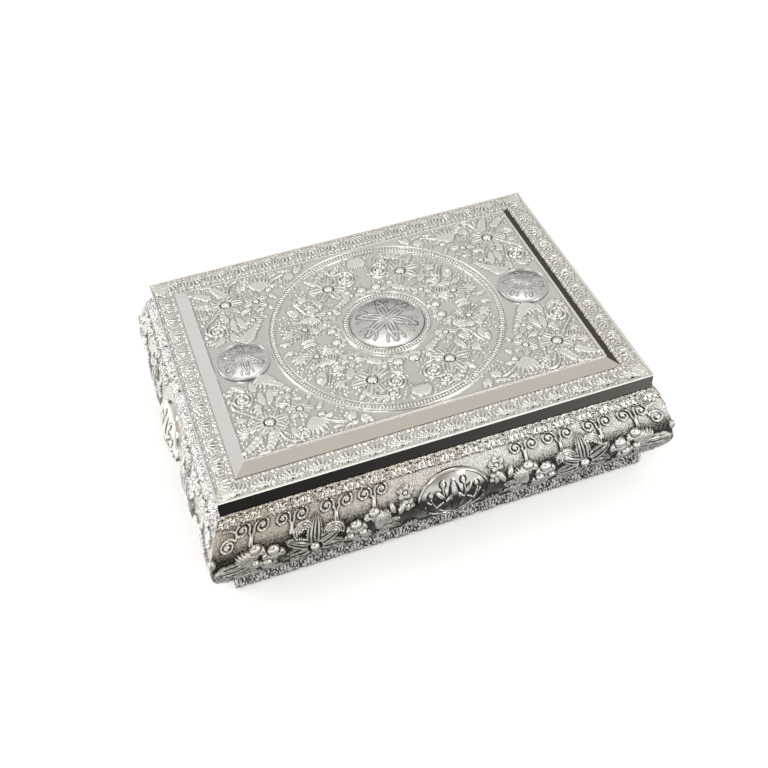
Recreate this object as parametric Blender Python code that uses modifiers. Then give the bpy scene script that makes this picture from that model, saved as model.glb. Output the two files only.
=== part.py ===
"""Quran box: a bellied wooden casket clad in silver plate, with a lid hinged at the back.

Metres, +Z up. X runs along the front, which faces -Y. The felt under the box lies on Z = 0.
A body or lid section is drawn as (spread, height): how far a point stands out past the lid's
outline, and how high it lies.
"""

import math

import bmesh
import bpy
from mathutils import Matrix, Vector

# Outline of the lid, which the mouth of the body repeats
LID_LENGTH = 0.264
LID_WIDTH = 0.194

# Sheet metal, seams and running gaps
SHEET_THICKNESS = 0.0006
SEAM_GAP = 0.0003
LID_GAP = 0.0003
CUT_OVERRUN = 0.010

# Heights of the body, from the mouth down
FRIEZE_HEIGHT = 0.0064
BELLY_UPPER_HEIGHT = 0.0260
BELLY_LOWER_HEIGHT = 0.0175
LIP_HEIGHT = 0.0030
UNDERCUT_HEIGHT = 0.0020
PLINTH_HEIGHT = 0.0145
PLINTH_LIFT = 0.0006

# How far the body stands out past the lid outline
FRIEZE_SPREAD = 0.0048
BELLY_SPREAD = 0.0128
LIP_SPREAD = 0.0060
PLINTH_SPREAD = 0.0007

# Wood, felt and lining
WALL_THICKNESS = 0.0090
BOARD_THICKNESS = 0.0060
FELT_THICKNESS = 0.0012
FELT_INSET = 0.0040
LINING_THICKNESS = 0.0012
LINING_SETBACK = 0.0010
PAD_THICKNESS = 0.0025
PAD_CLEARANCE = 0.0010
PAD_EDGE_RADIUS = 0.0008

# Lid, from its lower edge up
BAND_HEIGHT = 0.0106
BORDER_WIDTH = 0.0135
BEVEL_WIDTH = 0.0071
PLAQUE_RISE = 0.0044

# Applied rings and medallions of the plaque
RING_MARGIN = 0.0021
RING_WIDTH = 0.0051
RING_HEIGHT = 0.0012
CENTRE_RING_RADIUS = 0.0285
CENTRE_RING_WIDTH = 0.0052
MEDALLION_EDGE = 0.0006
CENTRE_DOME_RISE = 0.0034
SIDE_DOME_RISE = 0.0024
SIDE_RING_MARGIN = 0.0013
SIDE_END_MARGIN = 0.0030
SIDE_RIM_WIDTH = 0.0012

# Domed cartouches on the belly
CARTOUCHE_HALF_WIDTH = 0.0222
CARTOUCHE_TOP_MARGIN = 0.0028
CARTOUCHE_LOW_MARGIN = 0.0077
CARTOUCHE_RISE = 0.0030

# Raised flowers on the belly, each set in from the end of its side, and the berries beside them
FLOWER_END_DISTANCE = 0.047
FLOWER_HALF_WIDTH = 0.0205
FLOWER_TOP_MARGIN = 0.0030
FLOWER_LOW_MARGIN = 0.0025
FLOWER_RISE = 0.0026
BERRY_DISTANCE = 0.0245
BERRY_LIFT = 0.0050
BERRY_RADIUS = 0.0036
BERRY_RISE = 0.0020
BERRY_CLEARANCE = 0.0010

# Raised flowers on the plaque, and how deep in its sheet every raised form starts
PLAQUE_FLOWER_RISE = 0.0013
RELIEF_SEAT = 0.00015

# Two butt hinges let into the back of the mouth, each set in from the lid's end
HINGE_END_DISTANCE = 0.057
HINGE_WIDTH = 0.030
HINGE_LEAF_THICKNESS = 0.0009
HINGE_LEAF_MARGIN = 0.0010
BARREL_RADIUS = 0.0025
BARREL_CLEARANCE = 0.0004
MIDDLE_KNUCKLE_LENGTH = 0.0144
KNUCKLE_GAP = 0.0003
FINGER_INSET = 0.0003
PIN_RADIUS = 0.0010
PIN_CLEARANCE = 0.0002
PIN_SETBACK = 0.0002
SCREW_END_DISTANCE = 0.006
SCREW_HEAD_RADIUS = 0.0016
SCREW_HEAD_HEIGHT = 0.0007
SCREW_SHANK_RADIUS = 0.0008
SCREW_LENGTH = 0.0065
SCREW_CLEARANCE = 0.0003
SCREW_SETBACK = 0.0001

# Counts
BELLY_STEPS = 9
ROUND_STEPS = 48
SMALL_ROUND_STEPS = 16
RING_SECTION_STEPS = 6
DOME_STEPS = 5
CARTOUCHE_RINGS = 5
CARTOUCHE_STEPS = 32
FLOWER_PETALS = 8
PETAL_STEPS = 4
BERRY_STEPS = 8

# A flower's section from its heart to its edge and back under, as shares of its reach and its rise,
# where -1 is its flat back, and how far it is drawn in between petals
BELLY_FLOWER_SHARES = ((0, 1), (0.17, 0.8), (0.58, 0.62), (1, 0), (0.5, -1), (0, -1))
PLAQUE_FLOWER_SHARES = ((0, 1), (0.25, 0.75), (1, 0), (0, -1))
DRAWN_IN_SHARE = 0.45
BERRY_TOP_SHARE = 0.55

# Flowers of the plaque: place and reach as shares, and petals. The first follow the large ring, of
# whose radius these are shares. The others follow the plaque's half length and half width.
RING_FLOWER_SHARES = ((0.330, 0.585, 0.170, 6), (0.666, 0.170, 0.145, 5))
CORNER_FLOWER_SHARES = ((0.808, 0.700, 0.135, 8), (0.637, 0.652, 0.105, 6))

# Levels, from the floor up
PLINTH_TOP = PLINTH_LIFT + PLINTH_HEIGHT
LIP_BOTTOM = PLINTH_TOP + UNDERCUT_HEIGHT
LIP_TOP = LIP_BOTTOM + LIP_HEIGHT
BELLY_MIDDLE = LIP_TOP + BELLY_LOWER_HEIGHT
FRIEZE_BOTTOM = BELLY_MIDDLE + BELLY_UPPER_HEIGHT
PARTING = FRIEZE_BOTTOM + FRIEZE_HEIGHT
MOUTH_TOP = PARTING - LID_GAP / 2
LID_BOTTOM = PARTING + LID_GAP / 2
BORDER_TOP = LID_BOTTOM + BAND_HEIGHT
PLAQUE_TOP = BORDER_TOP + PLAQUE_RISE
WOOD_BOTTOM = FELT_THICKNESS + SEAM_GAP
BOARD_TOP = WOOD_BOTTOM + BOARD_THICKNESS
LINING_BOTTOM = BOARD_TOP + SEAM_GAP

# Insets from the lid outline, and what they leave
SKIN = SHEET_THICKNESS + SEAM_GAP
LINING_INSET = WALL_THICKNESS + SEAM_GAP + LINING_THICKNESS
PLAQUE_INSET = BORDER_WIDTH + BEVEL_WIDTH
PLAQUE_HALF_LENGTH = LID_LENGTH / 2 - PLAQUE_INSET
PLAQUE_HALF_WIDTH = LID_WIDTH / 2 - PLAQUE_INSET
RING_RADIUS = PLAQUE_HALF_WIDTH - RING_MARGIN
SIDE_ROOM = PLAQUE_HALF_LENGTH - RING_RADIUS - SIDE_RING_MARGIN - SIDE_END_MARGIN
SIDE_RADIUS = SIDE_ROOM / 2
SIDE_CENTRE = RING_RADIUS + SIDE_RING_MARGIN + SIDE_RADIUS

# Joint axis, behind the lid band at the level of the mouth
HINGE_OFFSET = BARREL_RADIUS + BARREL_CLEARANCE
HINGE_Y = LID_WIDTH / 2 + HINGE_OFFSET
LEAF_REACH = WALL_THICKNESS - HINGE_LEAF_MARGIN

# Each side of the box: its turn about Z, half its run, and how far it lies from the middle
SIDES = {
    "front": (0.0, LID_LENGTH / 2, LID_WIDTH / 2),
    "right": (math.pi / 2, LID_WIDTH / 2, LID_LENGTH / 2),
    "back": (math.pi, LID_LENGTH / 2, LID_WIDTH / 2),
    "left": (-math.pi / 2, LID_WIDTH / 2, LID_LENGTH / 2),
}
HINGE_X = LID_LENGTH / 2 - HINGE_END_DISTANCE
HINGES = {"left": -HINGE_X, "right": HINGE_X}

for leftover in list(bpy.data.objects):
    bpy.data.objects.remove(leftover)

PARTS = bpy.data.collections.new("quran_box")
CUTTERS = bpy.data.collections.new("cutters")
bpy.context.scene.collection.children.link(PARTS)
bpy.context.scene.collection.children.link(CUTTERS)
CUTTERS.hide_render = True

LID_AXIS = bpy.data.objects.new("lid_axis", None)
LID_AXIS.location = (0, HINGE_Y, PARTING)
LID_AXIS.empty_display_size = HINGE_WIDTH
PARTS.objects.link(LID_AXIS)


def finish(name, colour, roughness, metallic):
    """A Principled material."""
    material = bpy.data.materials.new(name)
    material.use_nodes = True
    material.diffuse_color = (*colour, 1)
    shader = material.node_tree.nodes["Principled BSDF"]
    shader.inputs["Base Color"].default_value = (*colour, 1)
    shader.inputs["Roughness"].default_value = roughness
    shader.inputs["Metallic"].default_value = metallic
    return material


RELIEF_SILVER = finish("relief silver", (0.78, 0.76, 0.72), 0.35, 1.0)
MIRROR_SILVER = finish("mirror silver", (0.82, 0.81, 0.79), 0.08, 1.0)
SATIN_SILVER = finish("satin silver", (0.80, 0.79, 0.77), 0.25, 1.0)
BRASS = finish("brass", (0.78, 0.60, 0.30), 0.30, 1.0)
STEEL = finish("steel", (0.60, 0.60, 0.60), 0.30, 1.0)
WOOD = finish("wood", (0.42, 0.26, 0.14), 0.60, 0.0)
VELVET = finish("velvet", (0.25, 0.02, 0.05), 0.90, 0.0)
FELT = finish("felt", (0.03, 0.08, 0.05), 0.95, 0.0)


def new_part(name, mesh, material, collection=PARTS):
    """An object around a mesh, with its material."""
    obj = bpy.data.objects.new(name, mesh)
    collection.objects.link(obj)
    if collection is CUTTERS:
        obj.display_type = "WIRE"
        obj.hide_render = True
    else:
        obj.data.materials.clear()
        obj.data.materials.append(material)
    return obj


def hang_on_lid(obj):
    """Parents a piece of the lid to the joint axis and leaves it where it stands."""
    obj.parent = LID_AXIS
    obj.matrix_parent_inverse = Matrix.Translation(-LID_AXIS.location)


def smooth(obj):
    """Shades round pieces smooth, and keeps their real edges."""
    obj.data.shade_smooth()
    obj.data.set_sharp_from_angle(angle=math.radians(40))


def cut(obj, cutter, operation="DIFFERENCE"):
    """A Boolean with another object."""
    boolean = obj.modifiers.new(cutter.name, "BOOLEAN")
    boolean.operation = operation
    boolean.solver = "EXACT"
    boolean.object = cutter


def mesh_of(bm, name):
    """Writes a bmesh to a new mesh and frees it."""
    bmesh.ops.recalc_face_normals(bm, faces=bm.faces[:])
    mesh = bpy.data.meshes.new(name)
    bm.to_mesh(mesh)
    bm.free()
    return mesh


def prism(name, outlines, thickness):
    """A flat outline, with any holes, filled and given a thickness along local Z."""
    curve = bpy.data.curves.new(name, "CURVE")
    curve.dimensions = "2D"
    curve.fill_mode = "BOTH"
    curve.extrude = thickness / 2
    for outline in outlines:
        spline = curve.splines.new("POLY")
        spline.points.add(len(outline) - 1)
        for point, (x, y) in zip(spline.points, outline):
            point.co = (x, y, 0, 1)
        spline.use_cyclic_u = True
    drawn = bpy.data.objects.new(name, curve)
    PARTS.objects.link(drawn)
    graph = bpy.context.evaluated_depsgraph_get()
    mesh = bpy.data.meshes.new_from_object(drawn.evaluated_get(graph))
    bpy.data.objects.remove(drawn)
    bpy.data.curves.remove(curve)
    bm = bmesh.new()
    bm.from_mesh(mesh)
    bpy.data.meshes.remove(mesh)
    bmesh.ops.remove_doubles(bm, verts=bm.verts[:], dist=SEAM_GAP / ROUND_STEPS)
    return bm


def bar(name, outline, length):
    """A section of (spread, height) drawn out along X: spread points to -Y and height to +Z."""
    bm = prism(name, [outline], length)
    stand_up = Matrix(((0, 0, -1, 0), (-1, 0, 0, 0), (0, 1, 0, 0), (0, 0, 0, 1)))
    bmesh.ops.transform(bm, matrix=stand_up, verts=bm.verts[:])
    return bm


def on_side(obj, side, along=0.0):
    """Turns a piece drawn for the front to its own side of the box."""
    turn, _, reach = SIDES[side]
    obj.rotation_euler = (0, 0, turn)
    obj.location = Matrix.Rotation(turn, 3, "Z") @ Vector((along, -reach, 0))


def mitred(name, side, outline, material):
    """One side of a frame: its section drawn along the side, with both ends cut at 45 degrees."""
    _, half_run, _ = SIDES[side]
    widest = max(spread for spread, _ in outline)
    bm = bar(name, outline, 2 * (half_run + widest + CUT_OVERRUN))
    set_back = SEAM_GAP / math.sqrt(2)
    for end in (-1, 1):
        every = bm.verts[:] + bm.edges[:] + bm.faces[:]
        corner = (end * (half_run - set_back), 0, 0)
        sawn = bmesh.ops.bisect_plane(
            bm, geom=every, plane_co=corner, plane_no=(end, 1, 0), clear_outer=True
        )
        rim = [found for found in sawn["geom_cut"] if isinstance(found, bmesh.types.BMEdge)]
        bmesh.ops.contextual_create(bm, geom=rim)
    obj = new_part(name, mesh_of(bm, name), material)
    on_side(obj, side)
    smooth(obj)
    return obj


def box_outline(half_length, half_width):
    """The four corners of a rectangle about the middle."""
    return [
        (-half_length, -half_width),
        (half_length, -half_width),
        (half_length, half_width),
        (-half_length, half_width),
    ]


def inset_outline(inset):
    """The lid's outline, drawn in by an inset."""
    return box_outline(LID_LENGTH / 2 - inset, LID_WIDTH / 2 - inset)


def slab(name, outlines, bottom, top, material):
    """A flat piece between two heights."""
    bm = prism(name, outlines, top - bottom)
    obj = new_part(name, mesh_of(bm, name), material)
    obj.location = (0, 0, (bottom + top) / 2)
    return obj


def turned(name, profile, material, collection=PARTS, closed=False, steps=ROUND_STEPS):
    """A profile of (radius, height), running down its outer side, turned about Z."""
    mesh = bpy.data.meshes.new(name)
    edges = [(index, index + 1) for index in range(len(profile) - 1)]
    if closed:
        edges.append((len(profile) - 1, 0))
    mesh.from_pydata([(radius, 0, height) for radius, height in profile], edges, [])
    obj = new_part(name, mesh, material, collection)
    screw = obj.modifiers.new("turn", "SCREW")
    screw.steps = steps
    screw.render_steps = steps
    screw.use_merge_vertices = True
    screw.merge_threshold = SEAM_GAP / ROUND_STEPS
    screw.use_smooth_shade = True
    return obj


def offset_line(line, distance):
    """The same line, moved inward by a distance square to each of its stretches."""
    normals = []
    for (x1, z1), (x2, z2) in zip(line, line[1:]):
        length = math.hypot(x2 - x1, z2 - z1)
        normals.append(((z1 - z2) / length, (x2 - x1) / length))
    moved = []
    for index, (x, z) in enumerate(line):
        before = normals[max(index - 1, 0)]
        after = normals[min(index, len(normals) - 1)]
        lean = 1 + before[0] * after[0] + before[1] * after[1]
        shift = distance / lean
        moved.append((x - shift * (before[0] + after[0]), z - shift * (before[1] + after[1])))
    return moved


def sheet_outline(line):
    """The section of a sheet whose outer face follows the line."""
    return line + offset_line(line, SHEET_THICKNESS)[::-1]


def spread_at(height):
    """How far the outside of the frieze or the belly stands out at this height."""
    if height >= FRIEZE_BOTTOM:
        return FRIEZE_SPREAD * (PARTING - height) / FRIEZE_HEIGHT
    if height >= BELLY_MIDDLE:
        share = (height - BELLY_MIDDLE) / BELLY_UPPER_HEIGHT
        return BELLY_SPREAD - (BELLY_SPREAD - FRIEZE_SPREAD) * share**2
    share = (BELLY_MIDDLE - height) / BELLY_LOWER_HEIGHT
    return BELLY_SPREAD - (BELLY_SPREAD - LIP_SPREAD) * share**2


def frieze_line():
    """The slope under the mouth."""
    bottom = FRIEZE_BOTTOM + SEAM_GAP
    return [(spread_at(MOUTH_TOP), MOUTH_TOP), (spread_at(bottom), bottom)]


def belly_line():
    """Two parabolas that meet at the belly's widest point, its lip, and the undercut over the plinth."""
    line = []
    for step in range(BELLY_STEPS):
        height = FRIEZE_BOTTOM - BELLY_UPPER_HEIGHT * step / BELLY_STEPS
        line.append((spread_at(height), height))
    for step in range(BELLY_STEPS + 1):
        height = BELLY_MIDDLE - BELLY_LOWER_HEIGHT * step / BELLY_STEPS
        line.append((spread_at(height), height))
    line.append((LIP_SPREAD, LIP_BOTTOM))
    line.append((PLINTH_SPREAD, PLINTH_TOP))
    return line


def wall_outline():
    """The wood behind the frieze, belly and plinth sheets, with a plain inner face."""
    outside = [(0, PARTING), *belly_line(), (PLINTH_SPREAD, WOOD_BOTTOM)]
    (x1, z1), (x2, z2), *rest = offset_line(outside, SKIN)
    top = (x1 + (x2 - x1) * (MOUTH_TOP - z1) / (z2 - z1), MOUTH_TOP)
    return [top, (x2, z2), *rest, (-WALL_THICKNESS, WOOD_BOTTOM), (-WALL_THICKNESS, MOUTH_TOP)]


def rectangle(spread_in, spread_out, bottom, top):
    """A plain section between two spreads and two heights."""
    return [(spread_out, top), (spread_out, bottom), (spread_in, bottom), (spread_in, top)]


def add_flower(bm, sections, petals, size, rise):
    """A flat-backed flower about the middle: a lens, drawn in and down between its petals.

    The size is its reach to each side, up and down. Z is the height over the sheet it grows from.
    """
    spoke = [bm.verts.new((reach, 0, level)) for reach, level in sections]
    edges = [bm.edges.new(pair) for pair in zip(spoke, spoke[1:])]
    steps = petals * PETAL_STEPS
    before = set(bm.verts) - set(spoke)
    bmesh.ops.spin(bm, geom=spoke + edges, axis=(0, 0, 1), angle=2 * math.pi, steps=steps)
    grown = [vert for vert in bm.verts if vert not in before]
    bmesh.ops.remove_doubles(bm, verts=grown, dist=1 / steps**2)
    across, up, down = size
    grown = [vert for vert in bm.verts if vert not in before]
    for vert in grown:
        x, y, level = vert.co
        reach = math.hypot(x, y)
        between = (1 - math.cos(petals * (math.atan2(y, x) - math.pi / 2))) / 2
        drawn = 1 - DRAWN_IN_SHARE * between * reach
        height = max(level, 0) * rise * drawn - (RELIEF_SEAT if level <= 0 else 0)
        vert.co = (x * drawn * across, y * drawn * (up if y > 0 else down), height)
    return grown


def raise_belly(cover, side):
    """Joins the large flowers and the berries to the belly's sheet."""
    half_run = SIDES[side][1]
    size = (
        FLOWER_HALF_WIDTH,
        BELLY_UPPER_HEIGHT - FLOWER_TOP_MARGIN,
        BELLY_LOWER_HEIGHT - FLOWER_LOW_MARGIN,
    )
    for end in (-1, 1):
        middle = end * (half_run - FLOWER_END_DISTANCE)
        bm = bmesh.new()
        add_flower(bm, BELLY_FLOWER_SHARES, FLOWER_PETALS, size, FLOWER_RISE)
        for way in (-1, 1):
            if abs(middle + way * BERRY_DISTANCE) < CARTOUCHE_HALF_WIDTH + BERRY_RADIUS + BERRY_CLEARANCE:
                continue
            depth = BERRY_RISE + RELIEF_SEAT
            place = Matrix.Translation((way * BERRY_DISTANCE, BERRY_LIFT, depth / 2 - RELIEF_SEAT))
            bmesh.ops.create_cone(
                bm, cap_ends=True, segments=BERRY_STEPS, radius1=BERRY_RADIUS,
                radius2=BERRY_RADIUS * BERRY_TOP_SHARE, depth=depth, matrix=place,
            )
        for vert in bm.verts:
            height = BELLY_MIDDLE + vert.co.y
            vert.co = (vert.co.x, -spread_at(height) - vert.co.z, height)
        name = f"flower_{side}_{end}"
        raised = new_part(name, mesh_of(bm, name), None, CUTTERS)
        on_side(raised, side, middle)
        cut(cover, raised, "UNION")


def raise_plaque(plaque):
    """Joins the main flowers to the plaque's sheet, the same in its four quarters."""
    places = [(x * RING_RADIUS, y * RING_RADIUS, reach, petals) for x, y, reach, petals in RING_FLOWER_SHARES]
    for x, y, reach, petals in CORNER_FLOWER_SHARES:
        places.append((x * PLAQUE_HALF_LENGTH, y * PLAQUE_HALF_WIDTH, reach, petals))
    bm = bmesh.new()
    for x, y, reach_share, petals in places:
        reach = reach_share * PLAQUE_HALF_WIDTH
        for across, up in ((-1, -1), (-1, 1), (1, -1), (1, 1)):
            size = (reach, reach, reach)
            grown = add_flower(bm, PLAQUE_FLOWER_SHARES, petals, size, PLAQUE_FLOWER_RISE)
            bmesh.ops.translate(bm, vec=(across * x, up * y, PLAQUE_TOP), verts=grown)
    raised = new_part("plaque_flowers", mesh_of(bm, "plaque_flowers"), None, CUTTERS)
    cut(plaque, raised, "UNION")


def make_base():
    """Felt, base board, mitred walls and the four runs of sheet on them."""
    felt = [inset_outline(FELT_INSET)]
    slab("base_felt", felt, 0, FELT_THICKNESS, FELT)
    board = [inset_outline(WALL_THICKNESS + SEAM_GAP)]
    slab("base_board", board, WOOD_BOTTOM, BOARD_TOP, WOOD)
    plinth_line = [(PLINTH_SPREAD, PLINTH_TOP - SEAM_GAP), (PLINTH_SPREAD, PLINTH_LIFT)]
    for side in SIDES:
        wall = mitred(f"wall_{side}", side, wall_outline(), WOOD)
        frieze = mitred(f"frieze_{side}", side, sheet_outline(frieze_line()), RELIEF_SILVER)
        cover = mitred(f"cover_{side}", side, sheet_outline(belly_line()), RELIEF_SILVER)
        raise_belly(cover, side)
        mitred(f"plinth_{side}", side, sheet_outline(plinth_line), RELIEF_SILVER)
        if side == "back":
            hinged = (wall, frieze)
    return hinged


def make_lining():
    """The lining of the floor and walls inside the body."""
    floor = [inset_outline(LINING_INSET + SEAM_GAP)]
    slab("lining_floor", floor, LINING_BOTTOM, LINING_BOTTOM + LINING_THICKNESS, VELVET)
    top = MOUTH_TOP - LINING_SETBACK
    section = rectangle(-LINING_INSET, -WALL_THICKNESS - SEAM_GAP, LINING_BOTTOM, top)
    for side in SIDES:
        mitred(f"lining_{side}", side, section, VELVET)


def make_cartouche(side):
    """An oval sheet dome that follows the belly, standing off it more toward its middle."""
    top = FRIEZE_BOTTOM - CARTOUCHE_TOP_MARGIN
    bottom = LIP_TOP + CARTOUCHE_LOW_MARGIN
    middle = (top + bottom) / 2
    half_height = (top - bottom) / 2
    bm = bmesh.new()
    spoke = [bm.verts.new((ring / CARTOUCHE_RINGS, 0, 0)) for ring in range(CARTOUCHE_RINGS + 1)]
    for inner, outer in zip(spoke, spoke[1:]):
        bm.edges.new((inner, outer))
    bmesh.ops.spin(bm, geom=bm.edges[:], axis=(0, 1, 0), angle=2 * math.pi, steps=CARTOUCHE_STEPS)
    bmesh.ops.remove_doubles(bm, verts=bm.verts[:], dist=1 / CARTOUCHE_STEPS**2)
    for vert in bm.verts:
        reach = math.hypot(vert.co.x, vert.co.z)
        height = middle + half_height * vert.co.z
        lift = SKIN + CARTOUCHE_RISE * (1 - reach**2)
        vert.co = (CARTOUCHE_HALF_WIDTH * vert.co.x, -spread_at(height) - lift, height)
    bmesh.ops.recalc_face_normals(bm, faces=bm.faces[:])
    if bm.faces[0].normal.y > 0:
        bmesh.ops.reverse_faces(bm, faces=bm.faces[:])
    name = f"cartouche_{side}"
    mesh = bpy.data.meshes.new(name)
    bm.to_mesh(mesh)
    bm.free()
    obj = new_part(name, mesh, MIRROR_SILVER)
    on_side(obj, side)
    sheet = obj.modifiers.new("sheet", "SOLIDIFY")
    sheet.thickness = SHEET_THICKNESS
    sheet.offset = -1
    smooth(obj)


def make_lid_board():
    """One board with a raised field: a slab, with its top drawn in and up in a slope under the bevel."""
    slope = math.atan2(PLAQUE_RISE - SKIN, BEVEL_WIDTH - SEAM_GAP)
    top = BORDER_TOP - SKIN
    foot = BORDER_WIDTH + SEAM_GAP + SKIN / math.sin(slope) - SKIN / math.tan(slope)
    field_top = PLAQUE_TOP - SKIN
    field_inset = foot + (field_top - top) / math.tan(slope)
    bm = bmesh.new()
    bmesh.ops.create_cube(bm, size=1)
    size = (LID_LENGTH - 2 * SKIN, LID_WIDTH - 2 * SKIN, top - LID_BOTTOM)
    bmesh.ops.scale(bm, vec=size, verts=bm.verts[:])
    bmesh.ops.translate(bm, vec=(0, 0, (LID_BOTTOM + top) / 2), verts=bm.verts[:])
    upper = [face for face in bm.faces if face.normal.z > 1 / 2]
    bmesh.ops.inset_region(bm, faces=upper, thickness=foot - SKIN, use_even_offset=True)
    field = bmesh.ops.extrude_discrete_faces(bm, faces=upper)["faces"]
    corners = field[0].verts[:]
    bmesh.ops.translate(bm, vec=(0, 0, field_top - top), verts=corners)
    shrink = (
        (LID_LENGTH / 2 - field_inset) / (LID_LENGTH / 2 - foot),
        (LID_WIDTH / 2 - field_inset) / (LID_WIDTH / 2 - foot),
        1,
    )
    bmesh.ops.scale(bm, vec=shrink, verts=corners)
    obj = new_part("lid_board", mesh_of(bm, "lid_board"), WOOD)
    hang_on_lid(obj)
    return obj


def make_lid_bevel():
    """The polished slope from the leaf border up to the plaque, one bent sheet."""
    foot = BORDER_WIDTH + SEAM_GAP
    rise = PLAQUE_RISE - SKIN
    bm = bmesh.new()
    bmesh.ops.create_grid(bm, x_segments=1, y_segments=1, size=1)
    size = (LID_LENGTH / 2 - foot, LID_WIDTH / 2 - foot, 1)
    bmesh.ops.scale(bm, vec=size, verts=bm.verts[:])
    bmesh.ops.translate(bm, vec=(0, 0, BORDER_TOP), verts=bm.verts[:])
    middle = bm.faces[:]
    bmesh.ops.inset_region(
        bm, faces=middle, thickness=PLAQUE_INSET - foot, use_boundary=True, use_even_offset=True
    )
    bmesh.ops.translate(bm, vec=(0, 0, rise), verts=middle[0].verts[:])
    bmesh.ops.delete(bm, geom=middle, context="FACES_ONLY")
    mesh = bpy.data.meshes.new("lid_bevel")
    bm.to_mesh(mesh)
    bm.free()
    obj = new_part("lid_bevel", mesh, MIRROR_SILVER)
    sheet = obj.modifiers.new("sheet", "SOLIDIFY")
    sheet.thickness = SHEET_THICKNESS
    sheet.offset = -1
    sheet.use_even_offset = True
    hang_on_lid(obj)


def half_round_ring(outer_radius, width, height, bottom):
    """A closed half-round section, from its inner foot over the top to its outer foot."""
    section = []
    for step in range(RING_SECTION_STEPS + 1):
        angle = math.pi * (1 - step / RING_SECTION_STEPS)
        radius = outer_radius - width / 2 + width / 2 * math.cos(angle)
        section.append((radius, bottom + height * math.sin(angle)))
    return section


def dome_profile(radius, edge, rise, rim=0.0):
    """A domed disc from its crown out, with a flat rim where one is given, and down to its flat back."""
    bottom = PLAQUE_TOP + SEAM_GAP
    profile = []
    for step in range(DOME_STEPS + 1):
        share = step / DOME_STEPS
        profile.append(((radius - rim) * share, bottom + edge + rise * (1 - share**2)))
    if rim:
        profile.append((radius, bottom + edge))
    profile.append((radius, bottom))
    profile.append((0, bottom))
    return profile


def make_lid():
    """Board, band, border, bevel, plaque, rings, medallions and the pad under the lid."""
    board = make_lid_board()
    band = rectangle(-SHEET_THICKNESS, 0, LID_BOTTOM, BORDER_TOP - SKIN)
    for side in SIDES:
        strip = mitred(f"lid_band_{side}", side, band, MIRROR_SILVER)
        hang_on_lid(strip)
        if side == "back":
            hinged = (board, strip)
    border = [inset_outline(0), inset_outline(BORDER_WIDTH)]
    hang_on_lid(slab("lid_border", border, BORDER_TOP - SHEET_THICKNESS, BORDER_TOP, RELIEF_SILVER))
    make_lid_bevel()
    plaque = [inset_outline(PLAQUE_INSET)]
    plaque = slab("lid_plaque", plaque, PLAQUE_TOP - SHEET_THICKNESS, PLAQUE_TOP, SATIN_SILVER)
    raise_plaque(plaque)
    hang_on_lid(plaque)
    seat = PLAQUE_TOP + SEAM_GAP
    plaque_ring = half_round_ring(RING_RADIUS, RING_WIDTH, RING_HEIGHT, seat)
    hang_on_lid(turned("plaque_ring", plaque_ring, SATIN_SILVER, closed=True))
    centre_ring = half_round_ring(CENTRE_RING_RADIUS, CENTRE_RING_WIDTH, RING_HEIGHT, seat)
    hang_on_lid(turned("centre_ring", centre_ring, SATIN_SILVER, closed=True))
    centre_radius = CENTRE_RING_RADIUS - CENTRE_RING_WIDTH - SEAM_GAP
    centre = dome_profile(centre_radius, MEDALLION_EDGE, CENTRE_DOME_RISE)
    hang_on_lid(turned("centre_medallion", centre, MIRROR_SILVER))
    for name, way in (("left", -1), ("right", 1)):
        profile = dome_profile(SIDE_RADIUS, MEDALLION_EDGE, SIDE_DOME_RISE, SIDE_RIM_WIDTH)
        medallion = turned(f"side_medallion_{name}", profile, MIRROR_SILVER)
        medallion.location.x = way * SIDE_CENTRE
        hang_on_lid(medallion)
    pad_top = LID_BOTTOM - SEAM_GAP
    pad_outline = [inset_outline(LINING_INSET + PAD_CLEARANCE)]
    pad = slab("lid_pad", pad_outline, pad_top - PAD_THICKNESS, pad_top, VELVET)
    edge = pad.modifiers.new("edge", "BEVEL")
    edge.width = PAD_EDGE_RADIUS
    edge.segments = 2
    hang_on_lid(pad)
    return hinged


def cylinder_along_x(name, radius, start, end, material, collection=PARTS):
    """A round bar between two places on the joint axis."""
    bm = bmesh.new()
    bmesh.ops.create_cone(
        bm, cap_ends=True, segments=SMALL_ROUND_STEPS, radius1=radius, radius2=radius, depth=end - start
    )
    turn = Matrix.Rotation(math.pi / 2, 4, "Y")
    bmesh.ops.transform(bm, matrix=turn, verts=bm.verts[:])
    bmesh.ops.translate(bm, vec=((start + end) / 2, 0, 0), verts=bm.verts[:])
    return new_part(name, mesh_of(bm, name), material, collection)


def screw_profile(clearance):
    """A countersunk screw from its flat head down to its end, at its own size or grown for a hole."""
    head = SCREW_HEAD_RADIUS + clearance
    shank = SCREW_SHANK_RADIUS + clearance
    mouth = [(0, CUT_OVERRUN), (head, CUT_OVERRUN)] if clearance else [(0, 0)]
    end = -SCREW_LENGTH - clearance
    return [*mouth, (head, 0), (shank, -SCREW_HEAD_HEIGHT), (shank, end), (0, end)]


def place_screw(obj, x, way):
    """Sets a screw or its cutter in a leaf: its head in the meeting face, its shank into the wood."""
    obj.location = (x, LID_WIDTH / 2 - LEAF_REACH / 2, PARTING + way * (LID_GAP / 2 + SCREW_SETBACK))
    obj.rotation_euler = (math.pi if way > 0 else 0, 0, 0)


def leaf_outline(fingers):
    """A leaf in plan, from its inner edge to the fingers that reach the barrel. Y = 0 is the axis."""
    half = HINGE_WIDTH / 2
    inner = -HINGE_OFFSET - LEAF_REACH
    shoulder = -BARREL_RADIUS - BARREL_CLEARANCE
    outline = [(-half, inner), (half, inner), (half, shoulder)]
    for start, end in sorted(fingers, reverse=True):
        outline += [(end, shoulder), (end, 0), (start, 0), (start, shoulder)]
    outline.append((-half, shoulder))
    return outline


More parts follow.
